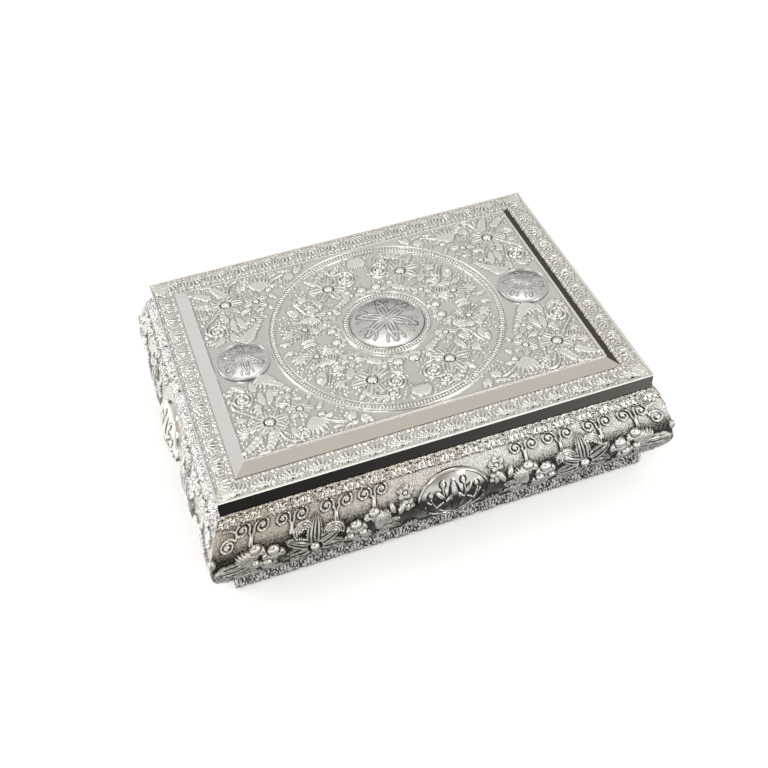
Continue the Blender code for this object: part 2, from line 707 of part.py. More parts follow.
def make_hinge(side, x, lid_wood, body_wood):
    """One butt hinge: two leaves with their knuckles, a pin, and two screws in each leaf."""
    half = HINGE_WIDTH / 2
    middle = MIDDLE_KNUCKLE_LENGTH / 2
    screw_x = half - SCREW_END_DISTANCE
    knuckles = {
        "base": [(-half, -middle - KNUCKLE_GAP), (middle + KNUCKLE_GAP, half)],
        "lid": [(-middle, middle)],
    }
    bore = cylinder_along_x(
        f"bore_{side}", PIN_RADIUS + PIN_CLEARANCE, -half - CUT_OVERRUN, half + CUT_OVERRUN, None, CUTTERS
    )
    bore.location = (x, HINGE_Y, PARTING)
    for owner, way, wood in (("base", -1, body_wood), ("lid", 1, lid_wood)):
        fingers = [(start + FINGER_INSET, end - FINGER_INSET) for start, end in knuckles[owner]]
        bm = prism("leaf", [leaf_outline(fingers)], HINGE_LEAF_THICKNESS)
        height = way * (LID_GAP + HINGE_LEAF_THICKNESS) / 2
        bmesh.ops.translate(bm, vec=(0, 0, height), verts=bm.verts[:])
        name = f"hinge_{owner}_leaf_{side}"
        leaf = new_part(name, mesh_of(bm, name), BRASS)
        leaf.location = (x, HINGE_Y, PARTING)
        for number, (start, end) in enumerate(knuckles[owner]):
            knuckle_name = f"knuckle_{owner}_{side}_{number}"
            knuckle = cylinder_along_x(knuckle_name, BARREL_RADIUS, start, end, None, CUTTERS)
            knuckle.location = leaf.location
            cut(leaf, knuckle, "UNION")
        cut(leaf, bore)
        for number, along in enumerate((-screw_x, screw_x)):
            hole_profile = screw_profile(SCREW_CLEARANCE)
            hole_name = f"hole_{owner}_{side}_{number}"
            hole = turned(hole_name, hole_profile, None, CUTTERS, steps=SMALL_ROUND_STEPS)
            place_screw(hole, x + along, way)
            cut(leaf, hole)
            cut(wood, hole)
            screw_name = f"hinge_{owner}_screw_{side}_{number + 1}"
            screw = turned(screw_name, screw_profile(0), BRASS, steps=SMALL_ROUND_STEPS)
            place_screw(screw, x + along, way)
            if owner == "lid":
                hang_on_lid(screw)
        if owner == "lid":
            hang_on_lid(leaf)
    pin = cylinder_along_x(f"hinge_pin_{side}", PIN_RADIUS, -half + PIN_SETBACK, half - PIN_SETBACK, STEEL)
    pin.location = (x, HINGE_Y, PARTING)


def cut_hinge_seats(lid_pieces, body_pieces):
    """Mortises for the leaves in both meeting faces, and the notch that takes the barrel."""
    inner = -LEAF_REACH - SEAM_GAP
    outer = HINGE_OFFSET + BARREL_RADIUS + CUT_OVERRUN
    mortise = LID_GAP / 2 + HINGE_LEAF_THICKNESS + SEAM_GAP
    notch = BARREL_RADIUS + BARREL_CLEARANCE
    seats = {
        "body": [
            (inner, PARTING + CUT_OVERRUN),
            (inner, PARTING - mortise),
            (-BARREL_CLEARANCE, PARTING - mortise),
            (-BARREL_CLEARANCE, PARTING - notch),
            (outer, PARTING - notch),
            (outer, PARTING + CUT_OVERRUN),
        ],
        "lid": rectangle(inner, outer, PARTING - CUT_OVERRUN, PARTING + mortise),
    }
    for side, x in HINGES.items():
        for owner, pieces in (("body", body_pieces), ("lid", lid_pieces)):
            bm = bar("seat", seats[owner], HINGE_WIDTH + 2 * SEAM_GAP)
            seat = new_part(f"seat_{owner}_{side}", mesh_of(bm, "seat"), None, CUTTERS)
            on_side(seat, "back", -x)
            for piece in pieces:
                cut(piece, seat)


def make_box():
    """The whole box, closed."""
    body_pieces = make_base()
    make_lining()
    for side in SIDES:
        make_cartouche(side)
    lid_pieces = make_lid()
    cut_hinge_seats(lid_pieces, body_pieces)
    for side, x in HINGES.items():
        make_hinge(side, x, lid_pieces[0], body_pieces[0])


make_box()
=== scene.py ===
import math

import bmesh
import bpy
import numpy as np
from mathutils import Matrix, Vector


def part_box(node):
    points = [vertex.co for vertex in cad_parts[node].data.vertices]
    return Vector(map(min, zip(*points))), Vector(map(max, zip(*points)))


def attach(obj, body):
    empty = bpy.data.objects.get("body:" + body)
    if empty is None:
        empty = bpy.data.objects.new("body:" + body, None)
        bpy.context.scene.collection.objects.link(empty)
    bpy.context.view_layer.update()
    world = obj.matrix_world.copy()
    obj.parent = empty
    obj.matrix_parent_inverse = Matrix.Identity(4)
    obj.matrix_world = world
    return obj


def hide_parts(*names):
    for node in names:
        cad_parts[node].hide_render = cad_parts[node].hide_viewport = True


# Quran box: chased silver relief, polished mouldings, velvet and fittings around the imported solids.
# Metres, +Z up, the front faces -Y. Ornament is drawn in millimetres on its own panel.

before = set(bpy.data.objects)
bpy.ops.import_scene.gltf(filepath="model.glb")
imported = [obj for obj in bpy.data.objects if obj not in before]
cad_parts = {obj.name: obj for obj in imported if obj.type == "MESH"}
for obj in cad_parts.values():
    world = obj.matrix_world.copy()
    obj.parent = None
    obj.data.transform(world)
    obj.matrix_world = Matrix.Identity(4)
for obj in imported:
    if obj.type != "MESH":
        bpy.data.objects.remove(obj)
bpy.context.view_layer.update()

MM = 0.001

# Places taken from the solids
LID_HALF_LENGTH, LID_HALF_WIDTH, BORDER_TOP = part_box("lid_border")[1]
PLAQUE_HALF_LENGTH, PLAQUE_HALF_WIDTH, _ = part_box("lid_plaque")[1]
PLAQUE_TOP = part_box("lid_bevel")[1][2] + 0.9 * MM
COVER_LOW, COVER_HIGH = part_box("cover_front")
BELLY_SPREAD = COVER_HIGH[0] - LID_HALF_LENGTH
BELLY_TOP = COVER_HIGH[2]
BELLY_FOOT = COVER_LOW[2]
FRIEZE_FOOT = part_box("frieze_front")[0][2]
FRIEZE_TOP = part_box("frieze_front")[1][2]
PLINTH_LOW, PLINTH_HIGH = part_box("plinth_front")
PLINTH_SPREAD = PLINTH_HIGH[0] - LID_HALF_LENGTH
RING_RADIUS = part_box("plaque_ring")[1][0]
CENTRE_RING_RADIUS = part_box("centre_ring")[1][0]
MEDALLION_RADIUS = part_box("centre_medallion")[1][0]
SIDE_LOW, SIDE_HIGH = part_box("side_medallion_right")
SIDE_RADIUS = (SIDE_HIGH[0] - SIDE_LOW[0]) / 2
SIDE_CENTRE = (SIDE_HIGH[0] + SIDE_LOW[0]) / 2

# The belly's section, as the solids have it
BELLY_MIDDLE = 0.0376
FRIEZE_START = 0.00011
FRIEZE_SPREAD = 0.0048
LIP_SPREAD = 0.0060
LIP_TOP = 0.0201
LIP_BOTTOM = 0.0171
BORDER_WIDTH = 0.0137

# Sheet and mesh, in millimetres
SHEET = 0.6
GRAIN = 0.45
FINE_GRAIN = 0.36

# Spacing of the repeats and where the short borders' begins, the large flower's place, the room for the
# oval, and the plaque's flatter relief
LEAF_PITCH = 14.6
BORDER_PITCH = 16.0
SHORT_BORDER_START = 12.4
FRINGE_PITCH = 3.1
FLOWER_FROM_CORNER = 59.8
FLOWER_HEIGHT = -28.5
OVAL_CLEAR = 24.5
PLAQUE_RELIEF = 0.85

# How far up a face must look to be bright, and below which it is dark: painted shade where the body turns
# under
DIM_LONG = (0.45, 0.13)
DIM_SHORT = (0.10, -0.30)
DIM_PLINTH = (0.54, -0.26)
DIM_OVAL = (0.51, 0.22)

LONG_SIDES = ("front", "back")
SIDES = {
    "front": (0.0, LID_HALF_LENGTH, LID_HALF_WIDTH),
    "right": (math.pi / 2, LID_HALF_WIDTH, LID_HALF_LENGTH),
    "back": (math.pi, LID_HALF_LENGTH, LID_HALF_WIDTH),
    "left": (-math.pi / 2, LID_HALF_WIDTH, LID_HALF_LENGTH),
}

# Camera, from the corners of the box in the photograph
CAMERA_AZIMUTH = math.radians(-16.88)
CAMERA_ELEVATION = math.radians(46.0)
CAMERA_ROLL = math.radians(-3.53)
CAMERA_DISTANCE = 0.6443
CAMERA_AIM = Vector((-0.01808, -0.04504, BORDER_TOP))
CAMERA_LENS = 51.04
CAMERA_SENSOR = 36.0


def set_camera():
    """The photograph's view."""
    data = bpy.data.cameras.new("view")
    data.lens = CAMERA_LENS
    data.sensor_width = CAMERA_SENSOR
    data.clip_start = 0.05
    data.clip_end = 20
    camera = bpy.data.objects.new("view", data)
    bpy.context.scene.collection.objects.link(camera)
    flat = math.cos(CAMERA_ELEVATION)
    back = Vector((
        math.sin(CAMERA_AZIMUTH) * flat, -math.cos(CAMERA_AZIMUTH) * flat, math.sin(CAMERA_ELEVATION)
    ))
    right = Vector((math.cos(CAMERA_AZIMUTH), math.sin(CAMERA_AZIMUTH), 0))
    up = back.cross(right)
    rolled_right = math.cos(CAMERA_ROLL) * right + math.sin(CAMERA_ROLL) * up
    rolled_up = math.cos(CAMERA_ROLL) * up - math.sin(CAMERA_ROLL) * right
    turn = Matrix((rolled_right, rolled_up, back)).transposed().to_4x4()
    camera.matrix_world = Matrix.Translation(CAMERA_AIM + back * CAMERA_DISTANCE) @ turn
    bpy.context.scene.camera = camera


class Shader:
    """A node material, or the world, built up from short calls."""

    def __init__(self, name, owner=None):
        self.material = owner or bpy.data.materials.new(name)
        self.material.use_nodes = True
        self.nodes = self.material.node_tree.nodes
        self.links = self.material.node_tree.links
        self.surface = self.nodes.get("Principled BSDF")
        self.place = self.add("ShaderNodeTexCoord").outputs["Generated" if owner else "Object"]

    def add(self, kind, **settings):
        node = self.nodes.new(kind)
        for name, value in settings.items():
            setattr(node, name, value)
        return node

    def join(self, output, target):
        if isinstance(output, (int, float, tuple)):
            target.default_value = output
        else:
            self.links.new(output, target)

    def noise(self, scale, detail=4.0, roughness=0.55, stretch=None):
        """Noise in the piece's own space, stretched along an axis where asked."""
        place = self.place
        if stretch:
            mapping = self.add("ShaderNodeMapping")
            mapping.inputs["Scale"].default_value = stretch
            self.join(place, mapping.inputs["Vector"])
            place = mapping.outputs["Vector"]
        node = self.add("ShaderNodeTexNoise")
        node.inputs["Scale"].default_value = scale
        node.inputs["Detail"].default_value = detail
        node.inputs["Roughness"].default_value = roughness
        self.join(place, node.inputs["Vector"])
        return node.outputs["Fac"]

    def cells(self, scale):
        node = self.add("ShaderNodeTexVoronoi")
        node.inputs["Scale"].default_value = scale
        self.join(self.place, node.inputs["Vector"])
        return node.outputs["Distance"]

    def attribute(self, name):
        return self.add("ShaderNodeAttribute", attribute_name=name).outputs["Fac"]

    def split(self):
        """The three coordinates of the place."""
        node = self.add("ShaderNodeSeparateXYZ")
        self.join(self.place, node.inputs["Vector"])
        return node.outputs

    def span(self, value, low, high, to_low=0.0, to_high=1.0, smooth=False):
        """Maps a stretch of values to another, and clamps it."""
        node = self.add("ShaderNodeMapRange", interpolation_type="SMOOTHSTEP" if smooth else "LINEAR")
        self.join(value, node.inputs["Value"])
        node.inputs["From Min"].default_value = low
        node.inputs["From Max"].default_value = high
        node.inputs["To Min"].default_value = to_low
        node.inputs["To Max"].default_value = to_high
        return node.outputs["Result"]

    def sum(self, first, second, operation="ADD", clamp=False):
        node = self.add("ShaderNodeMath", operation=operation, use_clamp=clamp)
        self.join(first, node.inputs[0])
        self.join(second, node.inputs[1])
        return node.outputs[0]

    def blend(self, share, first, second, kind="MIX"):
        """A colour between two, or their product."""
        node = self.add("ShaderNodeMix", data_type="RGBA", blend_type=kind)
        self.join(share, node.inputs["Factor"])
        for colour, socket in ((first, node.inputs["A"]), (second, node.inputs["B"])):
            if isinstance(colour, tuple):
                socket.default_value = (*colour, 1)
            else:
                self.links.new(colour, socket)
        return node.outputs["Result"]

    def bump(self, height, depth, strength=1.0, after=None):
        node = self.add("ShaderNodeBump")
        node.inputs["Distance"].default_value = depth
        node.inputs["Strength"].default_value = strength
        self.join(height, node.inputs["Height"])
        if after:
            self.links.new(after, node.inputs["Normal"])
        return node.outputs["Normal"]

    def finish(self, colour, roughness, metallic=0.0, normal=None, **sockets):
        if isinstance(colour, tuple):
            colour = (*colour, 1)
        self.join(colour, self.surface.inputs["Base Color"])
        self.join(roughness, self.surface.inputs["Roughness"])
        self.surface.inputs["Metallic"].default_value = metallic
        if normal:
            self.links.new(normal, self.surface.inputs["Normal"])
        for name, value in sockets.items():
            self.surface.inputs[name.replace("_", " ")].default_value = value
        return self.material


SILVER = (0.86, 0.85, 0.83)
COOL_SILVER = (0.80, 0.79, 0.78)
WARM_SILVER = (0.80, 0.75, 0.66)
RUBBED_SILVER = (0.97, 0.965, 0.95)
GREY_SILVER = (0.73, 0.72, 0.73)
# Near-black: oxide and painted shade in the hollows, and painted shade where the body turns under, blend
# toward it
DARK_SILVER = (0.030, 0.028, 0.025)
LEFT_END_SHADE_TINT = (1.0, 0.93, 0.82)


def chased_silver(name, bright, deep, oxide_and_shade, rough, matting, spread=0.0, left_tone=1.0, rubbed=RUBBED_SILVER):
    """Pressed and chased sheet: rubbed heights, hollows dulled by oxide and by painted shade, painted shade
    where it turns under, matted ground.

    The spread is how much rougher the raised forms are than the ground. The left tone is how much of its
    brightness the front keeps at its left end, which is darkened there with painted shade.
    """
    shader = Shader(name)
    hollow = shader.attribute("hollow")
    shade = shader.attribute("shade")
    cloud = shader.span(shader.noise(55), 0.35, 0.7)
    clouded = shader.sum(cloud, 0.3, "MULTIPLY")
    dullness = shader.sum(shader.sum(hollow, 1.4, "MULTIPLY"), clouded, clamp=True)
    ground = shader.attribute("ground")
    colour = shader.blend(dullness, shader.blend(ground, rubbed, bright), deep)
    speckle = shader.span(shader.noise(500, 3), 0.3, 0.7, 0.75, 1.15)
    speckled = shader.sum(shade, speckle, "MULTIPLY")
    # Oxide and painted shade in the hollows, and painted shade where the body turns under, blend toward
    # near-black
    dark = shader.sum(shader.sum(hollow, oxide_and_shade, "MULTIPLY"), speckled, clamp=True)
    if matting > 0.5:
        grit = shader.span(shader.noise(1100, 2, 0.7), 0.38, 0.56, 0.42, 0.0)
        dark = shader.sum(dark, shader.sum(grit, ground, "MULTIPLY"), clamp=True)
    colour = shader.blend(dark, colour, DARK_SILVER)
    # Painted shade: the front darker and warmer toward its left end
    if left_tone < 1:
        left = shader.span(shader.split()["X"], 0.06, -LID_HALF_LENGTH, smooth=True)
        left = shader.sum(left, shader.span(ground, 0.0, 1.0, 0.5, 1.0), "MULTIPLY")
        painted_shade = tuple(left_tone * share for share in LEFT_END_SHADE_TINT)
        left_end_shaded = shader.blend(left, (1.0, 1.0, 1.0), painted_shade)
        colour = shader.blend(1.0, colour, left_end_shaded, "MULTIPLY")
    dimples = shader.sum(shader.span(shader.cells(1500), 0.0, 0.6), ground, "MULTIPLY")
    normal = shader.bump(dimples, 0.0003, matting)
    normal = shader.bump(shader.noise(900, 3), 0.00005, 0.35, normal)
    haze = shader.span(shader.noise(240), 0.3, 0.7, rough, rough * 1.6)
    haze = shader.sum(haze, shader.sum(ground, 0.10 * matting - spread, "MULTIPLY"))
    return shader.finish(colour, shader.sum(haze, spread), 1.0, normal)


def polished_silver(name, colour, rough, streaks):
    """Polished plate with faint polishing marks and handling haze."""
    shader = Shader(name)
    haze = shader.span(shader.noise(28, 5), 0.35, 0.75, rough, rough * 1.9)
    marks = shader.noise(260, 6, 0.7, streaks)
    roughness = shader.sum(haze, shader.span(marks, 0.45, 0.75, 0.0, rough * 0.5))
    tint = shader.span(shader.noise(14), 0.3, 0.8)
    mixed = shader.blend(tint, colour, tuple(value * 0.955 for value in colour))
    return shader.finish(mixed, roughness, 1.0, shader.bump(marks, 0.00002, 0.25))


def band_with_painted_reflection():
    """The lid's long edges, polished, with a painted dark reflection that is lighter toward the right."""
    shader = Shader("band with painted dark reflection")
    across = shader.span(shader.split()["X"], -LID_HALF_LENGTH, LID_HALF_LENGTH)
    across = shader.sum(across, 2.0, "POWER")
    # Painted reflection: near-black at the left end, dark grey at the right
    colour = shader.blend(across, (0.009, 0.009, 0.008), (0.098, 0.092, 0.086))
    haze = shader.span(shader.noise(30, 5), 0.35, 0.75, 0.05, 0.10)
    marks = shader.noise(300, 5, 0.7, (0.05, 0.05, 1.0))
    return shader.finish(colour, haze, 1.0, shader.bump(marks, 0.00002, 0.2))


def domed_silver():
    """The bright ovals on the belly, with painted shade where they turn under and beside the raised spray."""
    shader = Shader("domed silver")
    tone = shader.span(shader.noise(60), 0.3, 0.75)
    colour = shader.blend(tone, SILVER, (0.80, 0.77, 0.71))
    # Painted shade where the oval turns under and beside its spray
    dark = shader.sum(shader.attribute("shade"), shader.attribute("hollow"), clamp=True)
    colour = shader.blend(dark, colour, (0.028, 0.027, 0.024))
    marks = shader.noise(260, 5, 0.7)
    haze = shader.span(marks, 0.3, 0.8, 0.05, 0.12)
    return shader.finish(colour, haze, 1.0, shader.bump(marks, 0.00002, 0.3))


def turned_brass():
    shader = Shader("hinge brass")
    tone = shader.span(shader.noise(300, 6), 0.3, 0.75)
    colour = shader.blend(tone, (0.83, 0.63, 0.30), (0.62, 0.43, 0.18))
    marks = shader.noise(600, 4, 0.6, (0.1, 1.0, 1.0))
    return shader.finish(colour, shader.span(tone, 0, 1, 0.22, 0.38), 1.0, shader.bump(marks, 0.00004, 0.5))


def pin_steel():
    shader = Shader("pin steel")
    marks = shader.noise(500, 4, 0.6, (0.1, 1.0, 1.0))
    return shader.finish((0.58, 0.57, 0.55), shader.span(marks, 0.3, 0.7, 0.2, 0.35), 1.0)


def sawn_wood():
    """Plain walnut-brown wood with its grain along the boards."""
    shader = Shader("sawn wood")
    grain = shader.noise(70, 8, 0.65, (0.12, 1.0, 1.4))
    pores = shader.noise(900, 3, 0.6, (0.06, 1.0, 1.0))
    colour = shader.blend(shader.span(grain, 0.32, 0.68), (0.20, 0.105, 0.05), (0.42, 0.25, 0.13))
    colour = shader.blend(shader.span(pores, 0.62, 0.72), colour, (0.11, 0.055, 0.03))
    normal = shader.bump(shader.sum(grain, pores), 0.00018, 0.6)
    return shader.finish(colour, shader.span(pores, 0.3, 0.7, 0.5, 0.68), 0.0, normal)


def pile_fabric(name, deep, light, nap):
    """Short pile: mottled where it was brushed, paler at grazing angles."""
    shader = Shader(name)
    brushed = shader.span(shader.noise(42, 5), 0.35, 0.68)
    fibre = shader.noise(nap, 4, 0.75)
    tone = shader.sum(shader.sum(brushed, 0.4, "MULTIPLY"), shader.sum(fibre, 0.6, "MULTIPLY"), clamp=True)
    colour = shader.blend(tone, deep, light)
    normal = shader.bump(fibre, 0.0004, 0.9)
    return shader.finish(
        colour, 0.95, 0.0, normal, Sheen_Weight=0.4, Sheen_Roughness=0.4, Specular_IOR_Level=0.15
    )


CHASED = chased_silver("chased silver", SILVER, WARM_SILVER, 0.66, 0.13, 0.8)
FRONT_CHASED = chased_silver("front chased silver", SILVER, WARM_SILVER, 0.66, 0.13, 0.8, left_tone=0.60)
FOOT_CHASED = chased_silver("foot silver", RUBBED_SILVER, WARM_SILVER, 1.0, 0.13, 0.8)
LEAFED = chased_silver("leafed silver", SILVER, (0.78, 0.765, 0.735), 0.55, 0.10, 0.2, spread=0.12)
FRONT_LEAFED = chased_silver(
    "front leafed silver", RUBBED_SILVER, WARM_SILVER, 0.55, 0.13, 0.5, left_tone=0.82
)
POLISHED = polished_silver("polished silver", SILVER, 0.05, (1.0, 0.08, 1.0))
SATIN = chased_silver("satin silver", COOL_SILVER, (0.74, 0.725, 0.70), 0.5, 0.11, 0.08, spread=0.14)
BEADED = polished_silver("beaded silver", RUBBED_SILVER, 0.2, (1.0, 1.0, 1.0))
# The rings' bed under the beads: darker with painted shade
GROOVE = polished_silver("groove with painted shade", (0.55, 0.54, 0.52), 0.2, (1.0, 1.0, 1.0))
BAND = band_with_painted_reflection()
CARTOUCHE = domed_silver()
MEDALLION = chased_silver("medallion silver", GREY_SILVER, GREY_SILVER, 0.55, 0.22, 0.0, rubbed=GREY_SILVER)
BRASS = turned_brass()
STEEL = pin_steel()
WOOD = sawn_wood()
VELVET = pile_fabric("red velvet", (0.14, 0.008, 0.02), (0.34, 0.03, 0.06), 2600)
FELT = pile_fabric("green felt", (0.012, 0.035, 0.022), (0.04, 0.10, 0.06), 1500)


# Further than any wire is wide
FAR_OFF = 9.0


class Relief:
    """Heights over a panel, in millimetres. Forms rise from the ground, and the higher of two shows."""

    def __init__(self, x, y, ground=-0.5):
        self.x = x
        self.y = y
        self.height = np.full(x.shape, ground)
        self.dark = np.zeros(x.shape)
        self.ground = ground

    def near(self, x, y, heading, reach):
        """The points within reach of a place: their indexes, and how far ahead and to the left they lie."""
        index = np.flatnonzero((np.abs(self.x - x) < reach) & (np.abs(self.y - y) < reach))
        east = self.x[index] - x
        north = self.y[index] - y
        cos = math.cos(heading)
        sin = math.sin(heading)
        return index, east * cos + north * sin, north * cos - east * sin

    def rise(self, index, inside, height, painted_shade=0.0):
        """Raises the points that lie inside a form to its height there, where they lay lower, and gives them
        its painted shade.
        """
        higher = inside & (height > self.height[index])
        chosen = index[higher]
        self.height[chosen] = height[higher]
        self.dark[chosen] = np.broadcast_to(painted_shade, height.shape)[higher]

    def bead(self, x, y, radius, rise):
        index, ahead, aside = self.near(x, y, 0, radius)
        room = 1 - (ahead**2 + aside**2) / radius**2
        self.rise(index, room > 0, rise * np.sqrt(np.maximum(room, 0)))

    def pit(self, x, y, length, width, depth, heading=0.0):
        """A small hole, sunk below everything around it and darkened in it with painted shade."""
        index, ahead, aside = self.near(x, y, heading, max(length, width))
        room = 1 - (ahead / length) ** 2 - (aside / width) ** 2
        sunk = index[room > 0]
        room = room[room > 0]
        self.height[sunk] = np.minimum(self.height[sunk], self.ground - depth * np.sqrt(room))
        self.dark[sunk] = np.maximum(self.dark[sunk], np.minimum(1, 2.5 * room))

    def leaf(
        self, x, y, heading, length, width, rise, bend=0.0, ribs=0.0, lobes=0, full=0.45, rim=0.0, painted_shade=0.0
    ):
        """A leaf or petal from its root: domed, or with a raised rim and midrib, ribbed along it or lobed."""
        index, ahead, aside = self.near(x, y, math.radians(heading), length * 1.05)
        if bend:
            radius = length / math.radians(abs(bend))
            side = math.copysign(1, bend)
            turn = np.arctan2(ahead, radius - side * aside)
            aside = side * (radius - np.hypot(ahead, radius - side * aside))
            ahead = radius * turn
        share = np.clip(ahead / length, 1e-4, 1 - 1e-4)
        outline = (share / full) ** (1.2 * full) * ((1 - share) / (1 - full)) ** (1.2 * (1 - full))
        if lobes:
            outline = outline * (0.70 + 0.30 * np.abs(np.sin(math.pi * lobes * share)))
        across = aside / np.maximum(width / 2 * outline, 1e-3)
        inside = (ahead > 0) & (ahead < length) & (np.abs(across) < 1)
        across = np.clip(across, -1, 1)
        vein = np.exp(-((across / 0.2) ** 2))
        dome = np.sqrt(1 - across**2) - 0.45 * vein
        raised_rim = np.exp(-(((np.abs(across) - 0.78) / 0.17) ** 2))
        midrib = np.exp(-((across / 0.13) ** 2))
        edge = 0.34 + 0.66 * raised_rim + 0.5 * midrib
        height = rise * (0.70 + 0.30 * np.sin(math.pi * share)) * (0.2 + 0.8 * (dome + rim * (edge - dome)))
        groove = np.zeros(share.shape)
        if ribs:
            groove = (1 - np.cos(2 * math.pi * ribs * across)) / 2
            height -= 0.55 * rise * groove * np.sqrt(1 - across**2)
        if lobes:
            height -= 0.25 * rise * np.abs(np.cos(math.pi * (lobes * share - 0.7 * np.abs(across)))) ** 3
        # Painted shade, mostly in the grooves between the ribs
        self.rise(index, inside, height, painted_shade * (0.12 + 0.88 * groove))

    def line(self, index, off, half_width, rise):
        """A raised wire, where off is each point's distance from its middle."""
        room = 1 - (off / half_width) ** 2
        self.rise(index, room > 0, rise * np.sqrt(np.maximum(room, 0)))

    def level(self, off, half_width, rise):
        """A raised wire through the whole panel, where off is every point's distance from its middle."""
        self.line(np.arange(len(off)), np.abs(off), half_width, rise)

    def scroll(self, x, y, radius, start, turns=1.6, hand=1, wire=0.62, rise=1.0, eye=1.3):
        """A wire that winds in from its start to a bead."""
        index, ahead, aside = self.near(x, y, math.radians(start), radius + wire)
        reach = np.hypot(ahead, aside)
        angle = np.mod(hand * np.arctan2(aside, ahead), 2 * math.pi) / (2 * math.pi)
        off = np.full(reach.shape, FAR_OFF)
        for lap in range(math.ceil(turns)):
            wound = angle + lap
            spiral = radius + (eye - radius) * wound / turns
            off = np.where(wound <= turns, np.minimum(off, np.abs(reach - spiral)), off)
        self.line(index, off, wire, rise)
        self.bead(x, y, eye, rise * 1.15)

    def stem(self, points, thick, thin, rise, steps=14):
        """A tapered wire along a Bezier curve of four points."""
        curve = bezier(points, steps)
        middle = curve.mean(axis=0)
        reach = np.abs(curve - middle).max() + thick
        index, ahead, aside = self.near(middle[0], middle[1], 0, reach)
        best = np.full(ahead.shape, -1.0)
        for number, (start, end) in enumerate(zip(curve, curve[1:])):
            run = end - start
            length = math.hypot(*run)
            east = ahead + middle[0] - start[0]
            north = aside + middle[1] - start[1]
            along = np.clip((east * run[0] + north * run[1]) / length**2, 0, 1)
            off = np.hypot(east - along * run[0], north - along * run[1])
            half_width = thick + (thin - thick) * (number + along) / steps
            best = np.maximum(best, 1 - (off / half_width) ** 2)
        self.rise(index, best > 0, rise * np.sqrt(np.maximum(best, 0)))

    def arches(self, x, y, heading, spread, radii, wire, rise):
        """Nested arcs about one centre."""
        index, ahead, aside = self.near(x, y, math.radians(heading), max(radii) + wire)
        reach = np.hypot(ahead, aside)
        angle = np.abs(np.arctan2(aside, ahead))
        for radius in radii:
            off = np.where(angle < math.radians(spread), np.abs(reach - radius), FAR_OFF)
            self.line(index, off, wire, rise)

    def bloom(self, x, y, petals, width, rise, heart, rim=0.2):
        """Petals of given headings and lengths round a bead in a collar, darkened with painted shade."""
        for heading, length in petals:
            self.leaf(x, y, heading, length, width, rise, full=0.58, rim=rim, ribs=1.0, painted_shade=0.3)
        self.pit(x, y, heart * 1.25, heart * 1.25, 0.0)
        self.bead(x, y, heart, rise * 1.35)

    def flower(self, x, y, petals, length, width, rise, turn=90.0, heart=2.0, rim=0.2):
        """Equal petals round a bead."""
        equal = [(turn + 360 / petals * number, length) for number in range(petals)]
        self.bloom(x, y, equal, width, rise, heart, rim)

    def fork(self, x, y, inner, outer, radius, foot, rise=1.0):
        """A stem that splits into two volutes, which turn out and over."""
        for way, off in ((-1, inner), (1, outer)):
            self.scroll(x + way * off, y, radius, 90 + way * 115, 1.6, -way, 0.66, rise, radius * 0.24)
            low = (x + way * 0.7, foot)
            middle = (x + way * 0.4, foot * 0.5 + y * 0.5)
            end = (x + way * (off - 0.906 * radius), y - 0.42 * radius)
            neck = (x + way * 0.2, end[1] - 2)
            self.stem((low, middle, neck, end), 0.55, 0.66, rise)

    def fan(self, x, y, heading, spread, count, length, width, rise, short=0.72, painted_shade=0.0):
        """Leaflets that spread from one root, the middle one longest."""
        for number in range(count):
            share = 2 * number / (count - 1) - 1
            size = 1 - (1 - short) * share**2
            self.leaf(
                x, y, heading + share * spread, length * size, width * 0.8, rise * (1 - 0.18 * abs(share)),
                bend=-24 * share, painted_shade=painted_shade,
            )

    def fill(self, low, high, count, clear, seed):
        """Small leaves and beads in the gaps of a rectangle: clear of other forms, but not far from one."""
        chance = np.random.default_rng(seed)
        for x, y, turn, kind in chance.random((count, 4)):
            x = low[0] + (high[0] - low[0]) * x
            y = low[1] + (high[1] - low[1]) * y
            index, ahead, aside = self.near(x, y, 0.0, clear * 2.6)
            raised = self.height[index] > self.ground + 0.05
            room = np.hypot(ahead, aside) < clear
            if not raised.any() or raised[room].any():
                continue
            if kind < 0.35:
                self.bead(x, y, clear * 0.55, 0.8)
            else:
                heading = 360 * turn
                x -= clear * math.cos(math.radians(heading))
                y -= clear * math.sin(math.radians(heading))
                self.leaf(x, y, heading, clear * 2.1, clear, 0.9, bend=60 * (kind - 0.6))

    def berry(self, x, y, radius, rise, heading=-90.0):
        """A round fruit in a cusped leaf, in a ring of painted shade."""
        for way in (-52, 0, 52):
            self.leaf(x, y, heading + way, radius * 2.3, radius * 1.5, rise * 0.6, painted_shade=0.3)
        self.pit(x, y, radius * 1.12, radius * 1.12, 0.0)
        self.bead(x, y, radius, rise * 1.25)

    def spray(self, points, count, length, width, rise):
        """A stem with leaflets on both sides and one at its tip."""
        self.stem(points, 0.6, 0.35, rise * 0.8)
        curve = bezier(points, count)
        for number, (start, end) in enumerate(zip(curve, curve[1:])):
            heading = math.degrees(math.atan2(end[1] - start[1], end[0] - start[0]))
            size = 1 - 0.35 * number / count
            for way in (-1, 1):
                self.leaf(*start, heading + way * 42, length * size, width * size, rise, bend=-way * 30)
        self.leaf(*curve[-1], heading, length, width, rise)


def bezier(points, steps):
    """Points along a Bezier curve of four points."""
    share = np.linspace(0, 1, steps + 1)[:, None]
    a, b, c, d = (np.array(point, dtype=float) for point in points)
    rest = 1 - share
    return rest**3 * a + 3 * rest**2 * share * b + 3 * rest * share**2 * c + share**3 * d


def on_body(side, x, out, z):
    """World places from places on one side: along it, out from the lid's outline, and up, in metres."""
    turn, _, reach = SIDES[side]
    cos = math.cos(turn)
    sin = math.sin(turn)
    forward = -(reach + out)
    return np.stack((x * cos - forward * sin, x * sin + forward * cos, z), axis=1)


